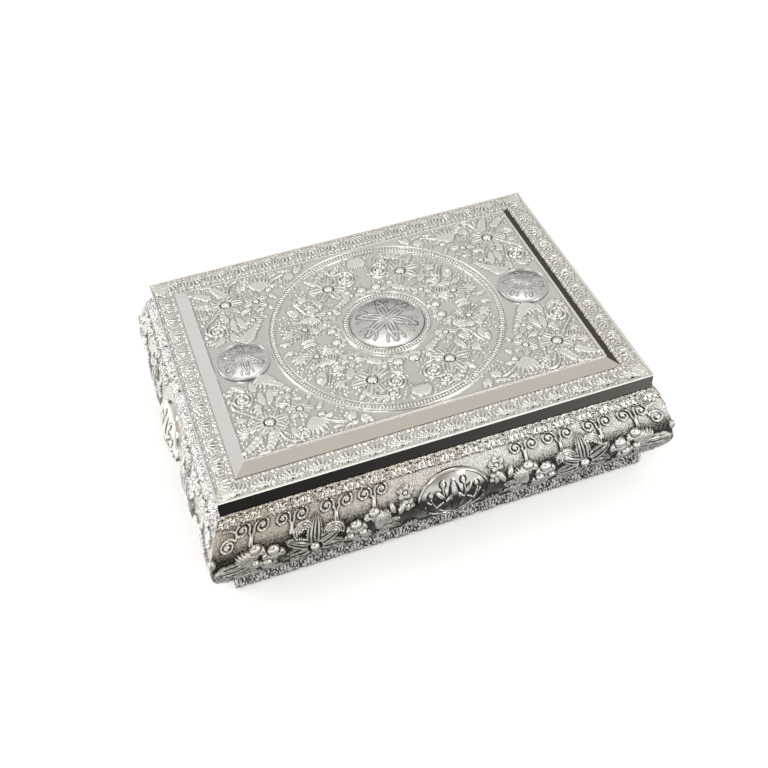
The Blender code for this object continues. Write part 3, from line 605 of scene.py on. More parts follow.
def smooth_step(value):
    value = np.clip(value, 0, 1)
    return value * value * (3 - 2 * value)


def soften(heights, passes):
    """Heights averaged with their neighbours, a few times over."""
    for _ in range(passes):
        framed = np.pad(heights, 1, mode="edge")
        beside = framed[:-2, 1:-1] + framed[2:, 1:-1] + framed[1:-1, :-2] + framed[1:-1, 2:]
        heights = (framed[1:-1, 1:-1] * 2 + beside) / 6
    return heights


def mesh_of(name, bm):
    """The finished mesh of a bmesh."""
    mesh = bpy.data.meshes.new(name)
    bm.to_mesh(mesh)
    bm.free()
    return mesh


def places(mesh):
    """The places of a mesh's vertices, a row each."""
    flat = np.empty(len(mesh.vertices) * 3)
    mesh.vertices.foreach_get("co", flat)
    return flat.reshape(-1, 3)


def reshape(mesh, points):
    """Moves the vertices to new places, and smooths the faces between edges marked sharp."""
    mesh.vertices.foreach_set("co", points.ravel())
    mesh.polygons.foreach_set("use_smooth", np.ones(len(mesh.polygons), dtype=bool))
    mesh.update()


def mark(mesh, label, values):
    """Keeps a value at each vertex for the materials."""
    mesh.attributes.new(label, "FLOAT", "POINT").data.foreach_set("value", values)


def mark_figure(mesh, figure, halo):
    """Darkens a dome beside its raised figure with painted shade. The halo is the same figure, drawn wider.
    """
    mark(mesh, "hollow", np.clip(halo.height / 0.25, 0, 1) * (figure.height <= 0.02))


def draw_back(bm):
    """Runs the open rim of a sheet one unit back."""
    rim = [edge for edge in bm.edges if edge.is_boundary]
    grown = bmesh.ops.extrude_edge_only(bm, edges=rim)["geom"]
    back = [item for item in grown if isinstance(item, bmesh.types.BMVert)]
    bmesh.ops.translate(bm, vec=(0, 0, -1), verts=back)


def turn_line(bm, points, steps, near):
    """Turns a line of points once about the upright axis."""
    verts = [bm.verts.new(point) for point in points]
    edges = [bm.edges.new(pair) for pair in zip(verts, verts[1:])]
    bmesh.ops.spin(
        bm, geom=verts + edges, axis=(0, 0, 1), cent=(0, 0, 0), angle=2 * math.pi, steps=steps, use_merge=True
    )
    bmesh.ops.remove_doubles(bm, verts=bm.verts[:], dist=near)


def give(obj, body, material, slot, *nodes):
    """Hands a piece its material, its body and the solids that it stands for; its record slot is not used."""
    obj.data.materials.clear()
    obj.data.materials.append(material)
    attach(obj, body)
    if nodes:
        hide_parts(*nodes)
    return obj


def new_object(name, mesh):
    obj = bpy.data.objects.new(name, mesh)
    bpy.context.scene.collection.objects.link(obj)
    return obj


def sheet_grid(columns, rows, keep=None, open_back=False):
    """A flat sheet of unit half size: a fine face in front, and a rim that runs back to one coarse face."""
    bm = bmesh.new()
    bmesh.ops.create_grid(bm, x_segments=columns, y_segments=rows, size=1)
    if keep:
        dropped = [face for face in bm.faces if not keep(face.calc_center_median())]
        bmesh.ops.delete(bm, geom=dropped, context="FACES")
        loose = [vert for vert in bm.verts if not vert.link_faces]
        bmesh.ops.delete(bm, geom=loose, context="VERTS")
    for edge in bm.edges:
        if edge.is_boundary:
            edge.smooth = False
    draw_back(bm)
    edges = [edge for edge in bm.edges if edge.is_boundary]
    if open_back:
        ends = [edge for edge in edges if all(abs(vert.co.y) > 0.99999 for vert in edge.verts)]
        bmesh.ops.bridge_loops(bm, edges=ends)
        edges = [edge for edge in bm.edges if edge.is_boundary]
    bmesh.ops.holes_fill(bm, edges=edges, sides=0)
    bmesh.ops.recalc_face_normals(bm, faces=bm.faces[:])
    return bm


def relief_piece(name, bm, place, chase, spacing):
    """Shapes a flat sheet: place gives world places for shares and heights, chase the heights on it."""
    mesh = mesh_of(name, bm)
    across, up, forward = places(mesh).T
    front = forward > -0.5
    relief = chase(Relief(*place.measure(across, up), place.ground))
    height = np.where(front, relief.height, -place.back)
    columns, column = np.unique(np.round(across[front], 5), return_inverse=True)
    rows, row = np.unique(np.round(up[front], 5), return_inverse=True)
    table = np.full((len(columns), len(rows)), relief.ground)
    table[column, row] = height[front]
    passes = max(2, round(2.2 / spacing))
    # The hollow mark, how far each point lies below its softened neighbours, darkens the hollows: oxide and
    # painted shade
    mean = soften(table, passes * 3)
    hollow = np.zeros(len(front))
    hollow[front] = np.clip((mean - table)[column, row] / place.deep, 0, 1)
    bare = np.zeros(len(front))
    bare[front] = np.clip(1 - (height[front] - relief.ground) / 0.15, 0, 1)
    mark(mesh, "hollow", hollow)
    mark(mesh, "ground", bare)
    reshape(mesh, place(across, up, height))
    give_shade(mesh, place, relief.dark, np.clip((height - relief.ground) / 1.6, 0, 1) * front)
    return new_object(name, mesh)


def give_shade(mesh, place, dark, raised=0.0):
    """Marks painted shade: in the holes and grooves, and where a side of the body turns from the light, from
    how far its faces look up.
    """
    shade = np.minimum(dark, 1)
    if hasattr(place, "dim"):
        normals = np.empty(len(mesh.vertices) * 3)
        mesh.vertex_normals.foreach_get("vector", normals)
        bright, dim = place.dim
        share = (bright - normals[2::3]) / (bright - dim)
        shade = np.maximum(shade, smooth_step(share) * (1 - 0.3 * raised))
    mark(mesh, "shade", shade)


class BodyStrip:
    """A panel on one side of the body, along a line of (spread, height) drawn from its top down."""

    ground = -0.5
    deep = 0.75
    back = SHEET

    def __init__(self, side, line, dim=None):
        self.side = side
        self.dim = dim or (DIM_LONG if side in LONG_SIDES else DIM_SHORT)
        self.half_run = SIDES[side][1]
        self.line = np.array(line)
        steps = np.hypot(*np.diff(self.line, axis=0).T)
        self.depth = np.concatenate(([0], np.cumsum(steps)))
        self.length = self.depth[-1]
        self.half_width = self.half_run + self.line[:, 0].max()

    def measure(self, across, up):
        """Millimetres from the middle of the side, and down from the panel's top."""
        return across * self.half_width / MM, (up - 1) / 2 * self.length / MM

    def follow(self, depth):
        """The spread and the height at a depth along the line."""
        depth = np.clip(depth, 0, self.length)
        return np.interp(depth, self.depth, self.line[:, 0]), np.interp(depth, self.depth, self.line[:, 1])

    def __call__(self, across, up, height):
        depth = (1 - up) / 2 * self.length
        spread, z = self.follow(depth)
        probe = self.length / 400
        spread_before, z_before = self.follow(depth - probe)
        spread_after, z_after = self.follow(depth + probe)
        rise = spread_after - spread_before
        fall = z_before - z_after
        size = np.maximum(np.hypot(rise, fall), 1e-9)
        out = height * MM * fall / size
        lift = height * MM * rise / size
        x = across * (self.half_run + spread)
        x = x + np.sign(across) * np.abs(across) ** 40 * out
        return on_body(self.side, x, spread + out, z + lift)


class LidPanel:
    """A flat panel on the lid, in a rectangle."""

    ground = -0.3
    deep = 0.55
    back = 0.88

    def __init__(self, half_length, half_width, top):
        self.half = (half_length, half_width)
        self.top = top

    def measure(self, across, up):
        return across * self.half[0] / MM, up * self.half[1] / MM

    def __call__(self, across, up, height):
        return np.stack((across * self.half[0], up * self.half[1], self.top + height * MM), axis=1)


class BorderPanel:
    """One mitred side of the lid's border."""

    ground = -0.4
    deep = 0.65
    back = SHEET

    def __init__(self, side):
        self.side = side
        self.half_run = SIDES[side][1]

    def inset(self, up):
        return (1 + up) / 2 * BORDER_WIDTH

    def measure(self, across, up):
        inset = self.inset(up)
        return across * (self.half_run - inset) / MM, inset / MM

    def __call__(self, across, up, height):
        inset = self.inset(up)
        return on_body(self.side, across * (self.half_run - inset), -inset, BORDER_TOP + height * MM)


def spread_at(z):
    """How far the belly stands out at a height."""
    if z >= BELLY_MIDDLE:
        share = (z - BELLY_MIDDLE) / (BELLY_TOP - BELLY_MIDDLE)
        return BELLY_SPREAD - (BELLY_SPREAD - FRIEZE_SPREAD) * share**2
    share = (BELLY_MIDDLE - z) / (BELLY_MIDDLE - LIP_TOP)
    return BELLY_SPREAD - (BELLY_SPREAD - LIP_SPREAD) * share**2


def belly_line():
    upper = np.linspace(BELLY_TOP, BELLY_MIDDLE, 40)
    lower = np.linspace(BELLY_MIDDLE, LIP_TOP, 28)[1:]
    line = [(spread_at(z), z) for z in (*upper, *lower)]
    return line + [(LIP_SPREAD, LIP_BOTTOM), (PLINTH_SPREAD, BELLY_FOOT)]


def body_relief(name, strip, chase, material, node, keep=None, open_back=False):
    """A chased sheet on one side of the body, in place of its solid."""
    columns = round(2 * strip.half_width / MM / GRAIN)
    rows = round(strip.length / MM / GRAIN)
    bm = sheet_grid(columns, rows, keep, open_back)
    piece = relief_piece(f"{name}_{strip.side}", bm, strip, chase, GRAIN)
    give(piece, "body", material, "relief_silver", f"{node}_{strip.side}")


# Heading, length, width and painted shade of the large flower's petals, darker on the petals that point down
LARGE_PETALS = (
    (-90, 14, 8.0, 1.8),
    (-45, 16, 7.5, 1.8),
    (225, 16, 7.5, 1.8),
    (-10, 18, 8.0, 1.7),
    (190, 18, 8.0, 1.5),
    (30, 19, 8.5, 1.4),
    (152, 18, 8.5, 1.2),
    (94, 23, 9.5, 1.0),
)


def large_flower(relief, x, y):
    """The ribbed flower of the belly, with arched fans behind its upper petals."""
    relief.arches(x + 5.6, y + 13.6, 62, 96, (1.5, 3.0, 4.5, 6.0), 0.6, 1.1)
    relief.arches(x - 12.0, y + 7.6, 112, 96, (1.5, 3.0, 4.5, 6.0), 0.6, 1.1)
    for heading, length, width, painted_shade in LARGE_PETALS:
        relief.leaf(x, y, heading, length, width, 2.4, ribs=2.0, full=0.42, painted_shade=painted_shade)
    # A ring of painted shade round the heart
    relief.pit(x, y, 4.4, 4.4, 0.0)
    relief.bead(x, y, 3.2, 3.0)


def corner_leaves(relief, edge):
    """The low scroll, the feathered leaves and the smooth leaf that wraps the corner."""
    relief.scroll(edge - 9.4, -10.6, 4.6, 150, 1.7, -1, 0.7)
    relief.stem(((edge - 5, -1.4), (edge - 12, -1.2), (edge - 15, -4), (edge - 13.6, -8.4)), 0.5, 0.7, 1.0)
    relief.fan(edge - 23, -30, 62, 34, 6, 14, 3.6, 1.7, 0.85, painted_shade=0.5)
    relief.leaf(edge - 23, -27.5, -4, 23, 8.5, 1.7, ribs=2, painted_shade=1.0)
    relief.leaf(edge - 22, -33, -14, 22, 6.5, 1.4, bend=16, ribs=1, lobes=5, painted_shade=1.0)
    relief.leaf(edge, -46, 90, 17, 13, 1.5, ribs=3, painted_shade=0.8)
    relief.fan(edge - 13, -45.5, 95, 50, 7, 11, 3.4, 1.3, painted_shade=0.8)
    for y, heading, length in ((-43, 118, 9), (-37, 62, 8), (-31, 116, 9), (-23, 84, 7)):
        bend = 30 if heading > 90 else -30
        relief.leaf(edge - 1.8, y, heading, length, 3.2, 1.1, bend, painted_shade=0.3)


def inner_leaves(relief, axis):
    """The leaves and the small flower between a long side's berries and its oval."""
    relief.fan(axis - 37.5, -31, 118, 30, 6, 15, 3.4, 1.7, 0.85, painted_shade=0.5)
    relief.leaf(axis - 38.5, -29, 176, 14, 5.5, 1.6, ribs=2, painted_shade=1.0)
    relief.leaf(axis - 38.5, -34, 190, 14, 5.0, 1.4, bend=-20, ribs=1, lobes=4, painted_shade=1.0)
    relief.flower(28.8, -10.2, 5, 5.4, 3.4, 1.1, 100, 1.5, 0.3)
    relief.flower(27.5, -19.5, 5, 4.4, 2.8, 1.0, 60, 1.2, 0.3)
    relief.leaf(33.5, -24, 125, 8, 3.4, 1.3, bend=-30)
    relief.leaf(35.5, -22, 60, 8, 3.4, 1.2, bend=30)
    relief.fan(27, -45.5, 96, 50, 7, 11, 3.4, 1.3)


def fringe(relief, edge):
    """Small crinkled tongues along the foot of the belly, and a beaded lip under them."""
    for number in range(int(edge / FRINGE_PITCH) + 1):
        x = (number + 0.5) * FRINGE_PITCH
        lean = (7 * number) % 5 - 2
        # Every third tongue a little darker: painted shade
        painted_shade = 0.7 * (number % 3 == 0)
        relief.leaf(x, -47.9, 90 + 9 * lean, 4.4 + 0.5 * lean, 2.5, 0.8, full=0.4, painted_shade=painted_shade)
        relief.bead((number + 0.2) * FRINGE_PITCH, -48.4, 0.8, 0.5 + 0.2 * (number % 2))


# Places from the flower's axis: volute stems, berries and low fans. A stem has the reach of its two
# volutes and their radius, a berry its height and radius.
FORKS = ((-37.0, 4.8, 6.0, 4.5), (-14.0, 6.0, 6.3, 4.7), (12.8, 5.6, 5.9, 4.7), (36.8, 5.9, 6.2, 4.9))
BERRIES = (
    (23.7, -22.0, 3.7), (34.3, -17.5, 3.4), (28.0, -30.5, 2.8), (35.0, -28.0, 2.4),
    (-25.5, -22.5, 3.5), (-36.5, -17.0, 3.3), (-29.0, -30.0, 2.7), (-21.5, -30.0, 2.2),
)
LOW_FANS = (-41.0, -27.0, -12.5, 12.5, 27.0, 40.5)


def chase_belly(strip):
    """The belly's ornament on half of a side, mirrored at its middle."""
    edge = strip.half_width / MM
    axis = edge - FLOWER_FROM_CORNER
    berries = [(axis + offset, y, radius) for offset, y, radius in BERRIES if axis + offset > OVAL_CLEAR]

    def chase(relief):
        relief.x = np.abs(relief.x)
        fringe(relief, edge)
        for offset in LOW_FANS:
            relief.fan(axis + offset, -45.5, 90 + offset / 4, 48, 7, 11.5, 3.4, 1.3, painted_shade=0.8)
        for offset, inner, outer, radius in FORKS:
            if axis + offset - inner > OVAL_CLEAR:
                relief.fork(axis + offset, -3.5, inner, outer, radius, -14.0)
        for x, y, radius in berries:
            relief.leaf(x, y - 1, -60 if x > axis else 240, radius * 3.4, radius * 1.6, 1.3, ribs=1)
        large_flower(relief, axis, FLOWER_HEIGHT)
        for x, y, radius in berries:
            relief.berry(x, y, radius, 1.7)
        corner_leaves(relief, edge)
        if strip.side in LONG_SIDES:
            inner_leaves(relief, axis)
        return relief

    return chase


def make_covers():
    """The four pressed belly sheets."""
    line = belly_line()
    for side in SIDES:
        strip = BodyStrip(side, line)
        material = FRONT_CHASED if side == "front" else CHASED
        body_relief("belly", strip, chase_belly(strip), material, "cover", open_back=True)


# Place, lean and length of the frieze's leaves
FRIEZE_LEAVES = ((0.5, 8, 5.4), (1.3, 48, 4.6), (3.4, 20, 4.4), (4.6, -30, 4.4), (6.4, -62, 3.4))


def chase_frieze(relief):
    """Fine curled leaves with small sunk gaps between them, darkened with painted shade, over a matted
    ground.
    """
    count = int(relief.x.max() / LEAF_PITCH) + 2
    relief.x = np.abs(relief.x)
    for number in range(count):
        x = number * LEAF_PITCH
        for way in (-1, 1):
            for start, lean, length in FRIEZE_LEAVES:
                relief.leaf(x + way * start, -7.0, 90 - way * lean, length, 1.3, 0.6, bend=way * 30)
            relief.leaf(x + way * 5.8, -1.9, 90 + way * 70, 2.6, 1.0, 0.5)
            relief.leaf(x + way * 2.6, -4.2, 90 + way * 40, 2.4, 0.9, 0.5)
            relief.pit(x + way * 5.2, -6.9, 0.8, 0.5, 0.2)
            relief.bead(x + way * 2.4, -0.9, 0.5, 0.5)
            relief.pit(x + way * 3.1, -2.6, 0.6, 0.5, 0.2)
        relief.pit(x + LEAF_PITCH / 2, -1.7, 1.0, 0.8, 0.3)
        relief.pit(x, -1.5, 0.6, 0.6, 0.2)
    relief.fill((0, -7.8), (relief.x.max(), -0.3), 1600, 0.55, 3)
    return relief


def make_friezes():
    """The sloping sheets under the mouth, notched at the back for the hinge barrels."""
    line = [(FRIEZE_START, FRIEZE_TOP), (FRIEZE_SPREAD, FRIEZE_FOOT)]
    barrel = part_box("hinge_base_leaf_right")
    for side in SIDES:
        strip = BodyStrip(side, line)
        keep = None
        if side == "back":
            reach = (barrel[1][0] - barrel[0][0]) / 2 + SHEET / 2 * MM
            middle = (barrel[1][0] + barrel[0][0]) / 2
            notch = 1 - 2 * (FRIEZE_TOP - barrel[0][2]) / (FRIEZE_TOP - FRIEZE_FOOT)

            def keep(centre):
                return abs(abs(centre.x) * strip.half_width - middle) > reach or centre.y < notch

        material = FRONT_LEAFED if side == "front" else LEAFED
        body_relief("frieze_leaves", strip, chase_frieze, material, "frieze", keep)


# Place, foot, lean, length, width, rise, bend, lobes and painted shade of the plinth's leaves
PLINTH_LEAVES = (
    (1.4, -12.8, 12, 9.0, 1.9, 0.95, 14, 5, 0.4),
    (2.8, -12.6, 26, 7.4, 1.8, 0.85, 22, 4, 0.6),
    (1.0, -13.0, 58, 5.6, 1.9, 0.80, 36, 3, 0.5),
)


def chase_plinth(relief):
    """Standing crinkled leaves with sunk gaps between them, darkened with painted shade."""
    count = int(relief.x.max() / LEAF_PITCH) + 2
    relief.x = np.abs(relief.x)
    for number in range(count):
        x = number * LEAF_PITCH
        for way in (-1, 1):
            for start, foot, lean, length, width, rise, bend, lobes, painted_shade in PLINTH_LEAVES:
                root = x + way * start
                heading = 90 - way * lean
                relief.leaf(
                    root, foot, heading, length, width, rise, way * bend, lobes=lobes, painted_shade=painted_shade
                )
            relief.leaf(x + way * 5.6, -4.4, 90 + way * 48, 3.6, 1.6, 0.8, bend=-way * 40)
            relief.bead(x + way * 3.4, -1.7, 0.75, 0.7)
            relief.pit(x + way * 2.1, -5.2, 0.5, 1.3, 0.2)
            relief.pit(x + way * 4.4, -9.0, 0.5, 1.4, 0.2)
        relief.leaf(x, -12.8, 90, 11.0, 2.2, 1.2, lobes=6)
        relief.pit(x + LEAF_PITCH / 2, -8.4, 1.2, 3.2, 0.3)
    relief.fill((0, -13), (relief.x.max(), -0.6), 1100, 0.75, 4)
    relief.level(relief.y + 13.6, 0.5, 0.3)
    return relief


def make_plinths():
    """The four plinth sheets."""
    line = [(PLINTH_SPREAD, PLINTH_HIGH[2]), (PLINTH_SPREAD, PLINTH_LOW[2])]
    for side in SIDES:
        strip = BodyStrip(side, line, DIM_PLINTH)
        body_relief("plinth_leaves", strip, chase_plinth, FOOT_CHASED, "plinth")


def shell(relief, x, size):
    """A palmette of thin curved ribs that opens inward from the lip."""
    for number in range(7):
        share = number / 3 - 1
        length = size * (1 - 0.26 * abs(share))
        rise = 0.95 - 0.2 * abs(share)
        relief.leaf(x + 1.5 * share, 3.4, 90 - 80 * share, length, 1.45, rise, bend=34 * share, full=0.6)
    relief.arches(x, 3.8, 90, 96, (2.3,), 0.45, 0.7)
    relief.bead(x, 3.7, 1.0, 1.0)


def chase_border(half_run, first):
    """Shell palmettes, with holes by the smooth lip and beads along the inner edge."""

    def chase(relief):
        count = int(half_run / BORDER_PITCH) + 1
        for number in range(-count, count + 1):
            x = first + number * BORDER_PITCH
            if abs(x) > half_run - 3:
                continue
            middle = x + BORDER_PITCH / 2
            if abs(middle) < half_run - 8:
                shell(relief, middle, 7.8)
                for way in (-1, 1):
                    relief.bead(middle + way * 1.3, 12.3, 0.8, 0.6)
                    relief.leaf(middle + way * 4.3, 12.6, 270 - way * 60, 3.0, 1.3, 0.5)
                    relief.bead(middle + way * 4.9, 2.3, 0.7, 0.45)
                relief.pit(middle, 2.3, 1.2, 0.9, 0.4)
            for way in (-1, 1):
                relief.leaf(x + way * 0.7, 5.0, 90 - way * 10, 5.4, 1.3, 0.6)
                relief.leaf(x + way * 1.5, 3.6, 90 - way * 42, 3.4, 1.2, 0.5)
                relief.bead(x + way * 1.2, 12.2, 1.05, 0.8)
            relief.bead(x, 10.4, 0.7, 0.6)
            relief.pit(x, 3.2, 1.3, 1.3, 0.4)
        relief.x = np.abs(relief.x)
        relief.fan(half_run - 1.6, 1.6, 135, 44, 9, 14.0, 1.7, 0.7, 0.85)
        relief.bead(half_run - 2.4, 2.4, 1.3, 1.0)
        relief.level(relief.y - 0.5, 0.6, 0.45)
        return relief

    return chase


def make_border():
    """The pressed leaf border of the lid, in four mitred runs."""
    for side in SIDES:
        panel = BorderPanel(side)
        half_run = panel.half_run / MM
        chase = chase_border(half_run, 0.0 if side in LONG_SIDES else SHORT_BORDER_START)
        bm = sheet_grid(round(2 * half_run / FINE_GRAIN), round(BORDER_WIDTH / MM / FINE_GRAIN))
        piece = relief_piece(f"border_leaves_{side}", bm, panel, chase, FINE_GRAIN)
        give(piece, "lid", LEAFED, "relief_silver", "lid_border")


def chase_ring_field(relief):
    """A quarter of the sprays inside the large ring."""
    relief.spray(((15, 32), (18, 29), (21, 27), (25, 24)), 4, 4.6, 2.4, 1.1)
    relief.leaf(39.5, 20.4, -3, 12.5, 3.6, 1.2)
    relief.fan(41, 38, 42, 46, 4, 8.0, 2.8, 1.1)
    relief.fan(1.5, 66.4, -84, 44, 7, 10.5, 2.8, 1.1)
    relief.fan(58, 11, 30, 76, 5, 7.5, 2.8, 1.1)
    relief.leaf(46, 1.8, 0, 9.5, 3.6, 1.1)
    relief.leaf(61, 3.0, 20, 7.0, 3.4, 1.1)
    relief.fan(36.5, 9.5, 50, 50, 4, 6.0, 2.4, 1.0)
    relief.leaf(33, 29, 66, 10.5, 5.0, 1.3, ribs=2)
    relief.leaf(36, 27, 10, 5.5, 3.0, 1.1)
    relief.spray(((20, 61), (24, 60), (27, 58), (29, 55)), 3, 4.6, 2.4, 1.0)
    relief.leaf(31, 49, 66, 10, 3.6, 1.1, bend=-30, lobes=3)
    relief.scroll(11.6, 49.4, 6.3, 55, 1.9, 1, 0.66, 1.1, 1.7)
    relief.scroll(16.4, 58.2, 4.6, 150, 1.6, -1, 0.6, 1.0, 1.4)
    relief.scroll(42.4, 28.2, 4.5, 80, 1.7, 1, 0.66, 1.1, 1.5)
    relief.stem(((37.5, 22.3), (46, 21.5), (45.5, 31), (49.5, 37.5)), 0.75, 0.6, 1.1)
    relief.stem(((19, 42.5), (15, 40.5), (11, 41), (6.5, 44.5)), 0.6, 0.7, 1.1)
    relief.leaf(50.8, 25.5, 78, 12, 6.4, 1.3, ribs=1)
    relief.bead(53.0, 32.2, 2.3, 1.6)
    relief.fan(52.5, 22.0, -50, 60, 4, 4.6, 2.2, 1.0)
    relief.arches(45.8, 14.4, 170, 112, (2.6, 4.3, 6.0, 7.6), 0.62, 1.1)
    relief.bloom(49.5, 12.6, ((38, 11), (78, 9.5), (-22, 12), (-66, 10)), 4.8, 1.3, 1.7, 0.7)
    relief.berry(5.0, 34.8, 3.0, 1.3, -90)
    relief.berry(14.2, 35.4, 2.2, 1.2, -70)
    relief.berry(34.2, 5.0, 2.8, 1.3, 180)
    relief.berry(36.5, 12.6, 1.9, 1.1, 160)
    relief.flower(30.6, 21.4, 6, 7.2, 4.0, 1.2, 20, 1.7)
    petals = ((0, 13.5), (68, 14.5), (105, 12.5), (210, 13), (245, 12.5), (312, 12))
    relief.bloom(24.5, 43.5, petals, 6.2, 1.5, 3.0)


def chase_corner_field(relief):
    """A quarter of the sprays in the corner outside the large ring."""
    relief.fan(84.5, 15.2, 86, 58, 7, 11.5, 3.0, 1.2, 0.85)
    relief.spray(((84, 22), (80, 23), (77, 26), (75, 29)), 4, 4.8, 2.6, 1.1)
    relief.leaf(97.5, 25.5, -50, 9.5, 4.6, 1.2, ribs=1)
    relief.leaf(92, 27.5, -84, 9.0, 4.0, 1.1, ribs=1)
    relief.leaf(83, 27.5, 76, 13, 4.6, 1.3, ribs=1)
    relief.leaf(89.5, 28, 84, 12.5, 4.2, 1.2, bend=20, ribs=1)
    relief.flower(77.2, 33.6, 5, 6.6, 4.2, 1.2, 50, 1.6)
    relief.spray(((101, 20), (105, 19.5), (107.5, 23), (107.5, 27)), 3, 4.2, 2.2, 1.0)
    relief.scroll(100.6, 31.2, 6.3, 205, 1.9, -1, 0.75, 1.2, 1.7)
    relief.stem(((106.8, 31), (109.5, 38), (102, 41), (96.4, 48)), 0.85, 0.75, 1.2)
    relief.spray(((92, 38), (94, 40), (95, 43), (93.5, 46)), 3, 4.4, 2.4, 1.1)
    relief.arches(103.2, 52.2, 120, 118, (2.0, 3.7, 5.4), 0.62, 1.1)
    relief.fan(104, 45, 60, 60, 4, 5.5, 2.4, 1.0)
    relief.fan(104.0, 58.5, -20, 60, 5, 6.2, 2.4, 1.0)
    relief.leaf(73, 40.5, 160, 6.5, 3.0, 1.0)
    relief.leaf(83, 41.5, 150, 8.5, 3.6, 1.2, bend=20)
    relief.flower(71.0, 49.8, 6, 8.4, 4.6, 1.3, 44, 1.9)
    relief.fan(66, 58.5, 96, 46, 6, 14.5, 3.4, 1.2, 0.85)
    relief.bead(60.2, 58.2, 2.0, 1.4)
    relief.leaf(60, 62, 200, 7, 3.0, 1.0)
    relief.leaf(61, 53.5, 236, 6, 3.0, 1.0)
    relief.leaf(64, 44, 250, 6, 2.6, 1.0)
    relief.scroll(74.0, 68.4, 4.7, 260, 1.8, 1, 0.66, 1.1, 1.4)
    relief.stem(((86.6, 60), (86.4, 68), (83.2, 74.4), (75.6, 73.6)), 0.85, 0.7, 1.2)
    relief.leaf(79, 61.5, 100, 9.5, 4.0, 1.1, ribs=1)
    relief.spray(((88.5, 61), (91, 65), (92.5, 69), (94.5, 72)), 4, 6.0, 2.8, 1.2)
    relief.spray(((97.5, 62.5), (101, 66), (104, 68.5), (107.5, 70)), 4, 5.4, 2.6, 1.1)
    relief.leaf(97, 74, 20, 7, 2.6, 1.0)
    relief.leaf(86, 74, 160, 6, 2.4, 1.0)
    relief.fan(43.5, 68.5, -62, 50, 5, 8.0, 2.8, 1.1)
    relief.stem(((48.5, 69), (54, 67.4), (58, 65), (60.5, 61.5)), 0.85, 0.6, 1.1)
    relief.leaf(39.6, 66.8, 128, 9.5, 3.6, 1.1, lobes=3)
    relief.leaf(39.6, 67.8, 104, 7, 3.0, 1.0)
    relief.leaf(42, 70.8, 14, 9.5, 3.2, 1.1, lobes=3)
    relief.leaf(57.5, 70, 166, 7.5, 3.0, 1.0, lobes=3)
    petals = ((-38, 11.5), (6, 11), (46, 11), (88, 11), (140, 11.5), (184, 11.5), (232, 10.5), (275, 9.5))
    relief.bloom(90.0, 53.6, petals, 5.6, 1.5, 3.0)


def chase_plaque(relief):
    """The plaque's ornament, mirrored both ways, in a thin raised edge."""
    relief.x = np.abs(relief.x)
    relief.y = np.abs(relief.y)
    edge = np.minimum(PLAQUE_HALF_LENGTH / MM - relief.x, PLAQUE_HALF_WIDTH / MM - relief.y)
    relief.level(edge - 0.5, 0.6, 0.6)
    chase_ring_field(relief)
    chase_corner_field(relief)
    around = RING_RADIUS / MM + 4
    for low, high, count, seed in (
        ((68, 34), (109, 74), 900, 5),
        ((78, 22), (109, 34), 900, 5),
        ((around * 0.6, around * 0.8), (109, 74), 900, 5),
        ((4, 28), (52, 66), 420, 7),
        ((34, 4), (64, 30), 420, 8),
    ):
        relief.fill(low, high, count, 1.25, seed)
    relief.height = np.where(relief.height > relief.ground, relief.height * PLAQUE_RELIEF, relief.height)
    return relief


class HalfPanel(LidPanel):
    """One half of a flat panel, left or right of the lid's middle."""

    def __init__(self, half_length, half_width, top, way):
        super().__init__(half_length / 2, half_width, top)
        self.middle = way * half_length / 2

    def measure(self, across, up):
        x, y = super().measure(across, up)
        return x + self.middle / MM, y

    def __call__(self, across, up, height):
        return super().__call__(across, up, height) + np.array((self.middle, 0, 0))


# How far the plaque's seams lie inside a ring's outer edge
UNDER_RING = 0.0026


def make_plaque():
    """The plaque's sheet outside the large ring, and the disc inside it, each in two halves."""
    columns = round(PLAQUE_HALF_LENGTH / MM / FINE_GRAIN)
    rows = round(2 * PLAQUE_HALF_WIDTH / MM / FINE_GRAIN)
    seam = RING_RADIUS - UNDER_RING
    heart = CENTRE_RING_RADIUS - UNDER_RING
    for hand, way in (("left", -1), ("right", 1)):
        panel = HalfPanel(PLAQUE_HALF_LENGTH, PLAQUE_HALF_WIDTH, PLAQUE_TOP, way)

        def reach(centre):
            return math.hypot(centre.x * panel.half[0] + panel.middle, centre.y * panel.half[1])

        for part, low, high in (("field", seam, math.inf), ("disc", heart, seam)):
            bm = sheet_grid(columns, rows, lambda centre: low < reach(centre) <= high)
            piece = relief_piece(f"plaque_{part}_{hand}", bm, panel, chase_plaque, FINE_GRAIN)
            give(piece, "lid", SATIN, "satin_silver", "lid_plaque")


def spun(name, profile, steps, middle=0.0):
    """A profile of (radius, height) turned about an upright axis at a place along the lid."""
    bm = bmesh.new()
    turn_line(bm, [(radius, 0, height) for radius, height in profile], steps, 1e-6)
    bmesh.ops.recalc_face_normals(bm, faces=bm.faces[:])
    bmesh.ops.translate(bm, vec=(middle, 0, 0), verts=bm.verts[:])
    mesh = mesh_of(name, bm)
    mesh.shade_smooth()
    mesh.set_sharp_from_angle(angle=math.radians(50))
    return new_object(name, mesh)


def half_round(inner, outer, foot, crown, steps=8):
    """A closed half-round section between two radii."""
    middle = (inner + outer) / 2
    half = (outer - inner) / 2
    section = []
    for step in range(steps + 1):
        angle = math.pi * (1 - step / steps)
        section.append((middle + half * math.cos(angle), foot + (crown - foot) * math.sin(angle)))
    section.append(section[0])
    return section


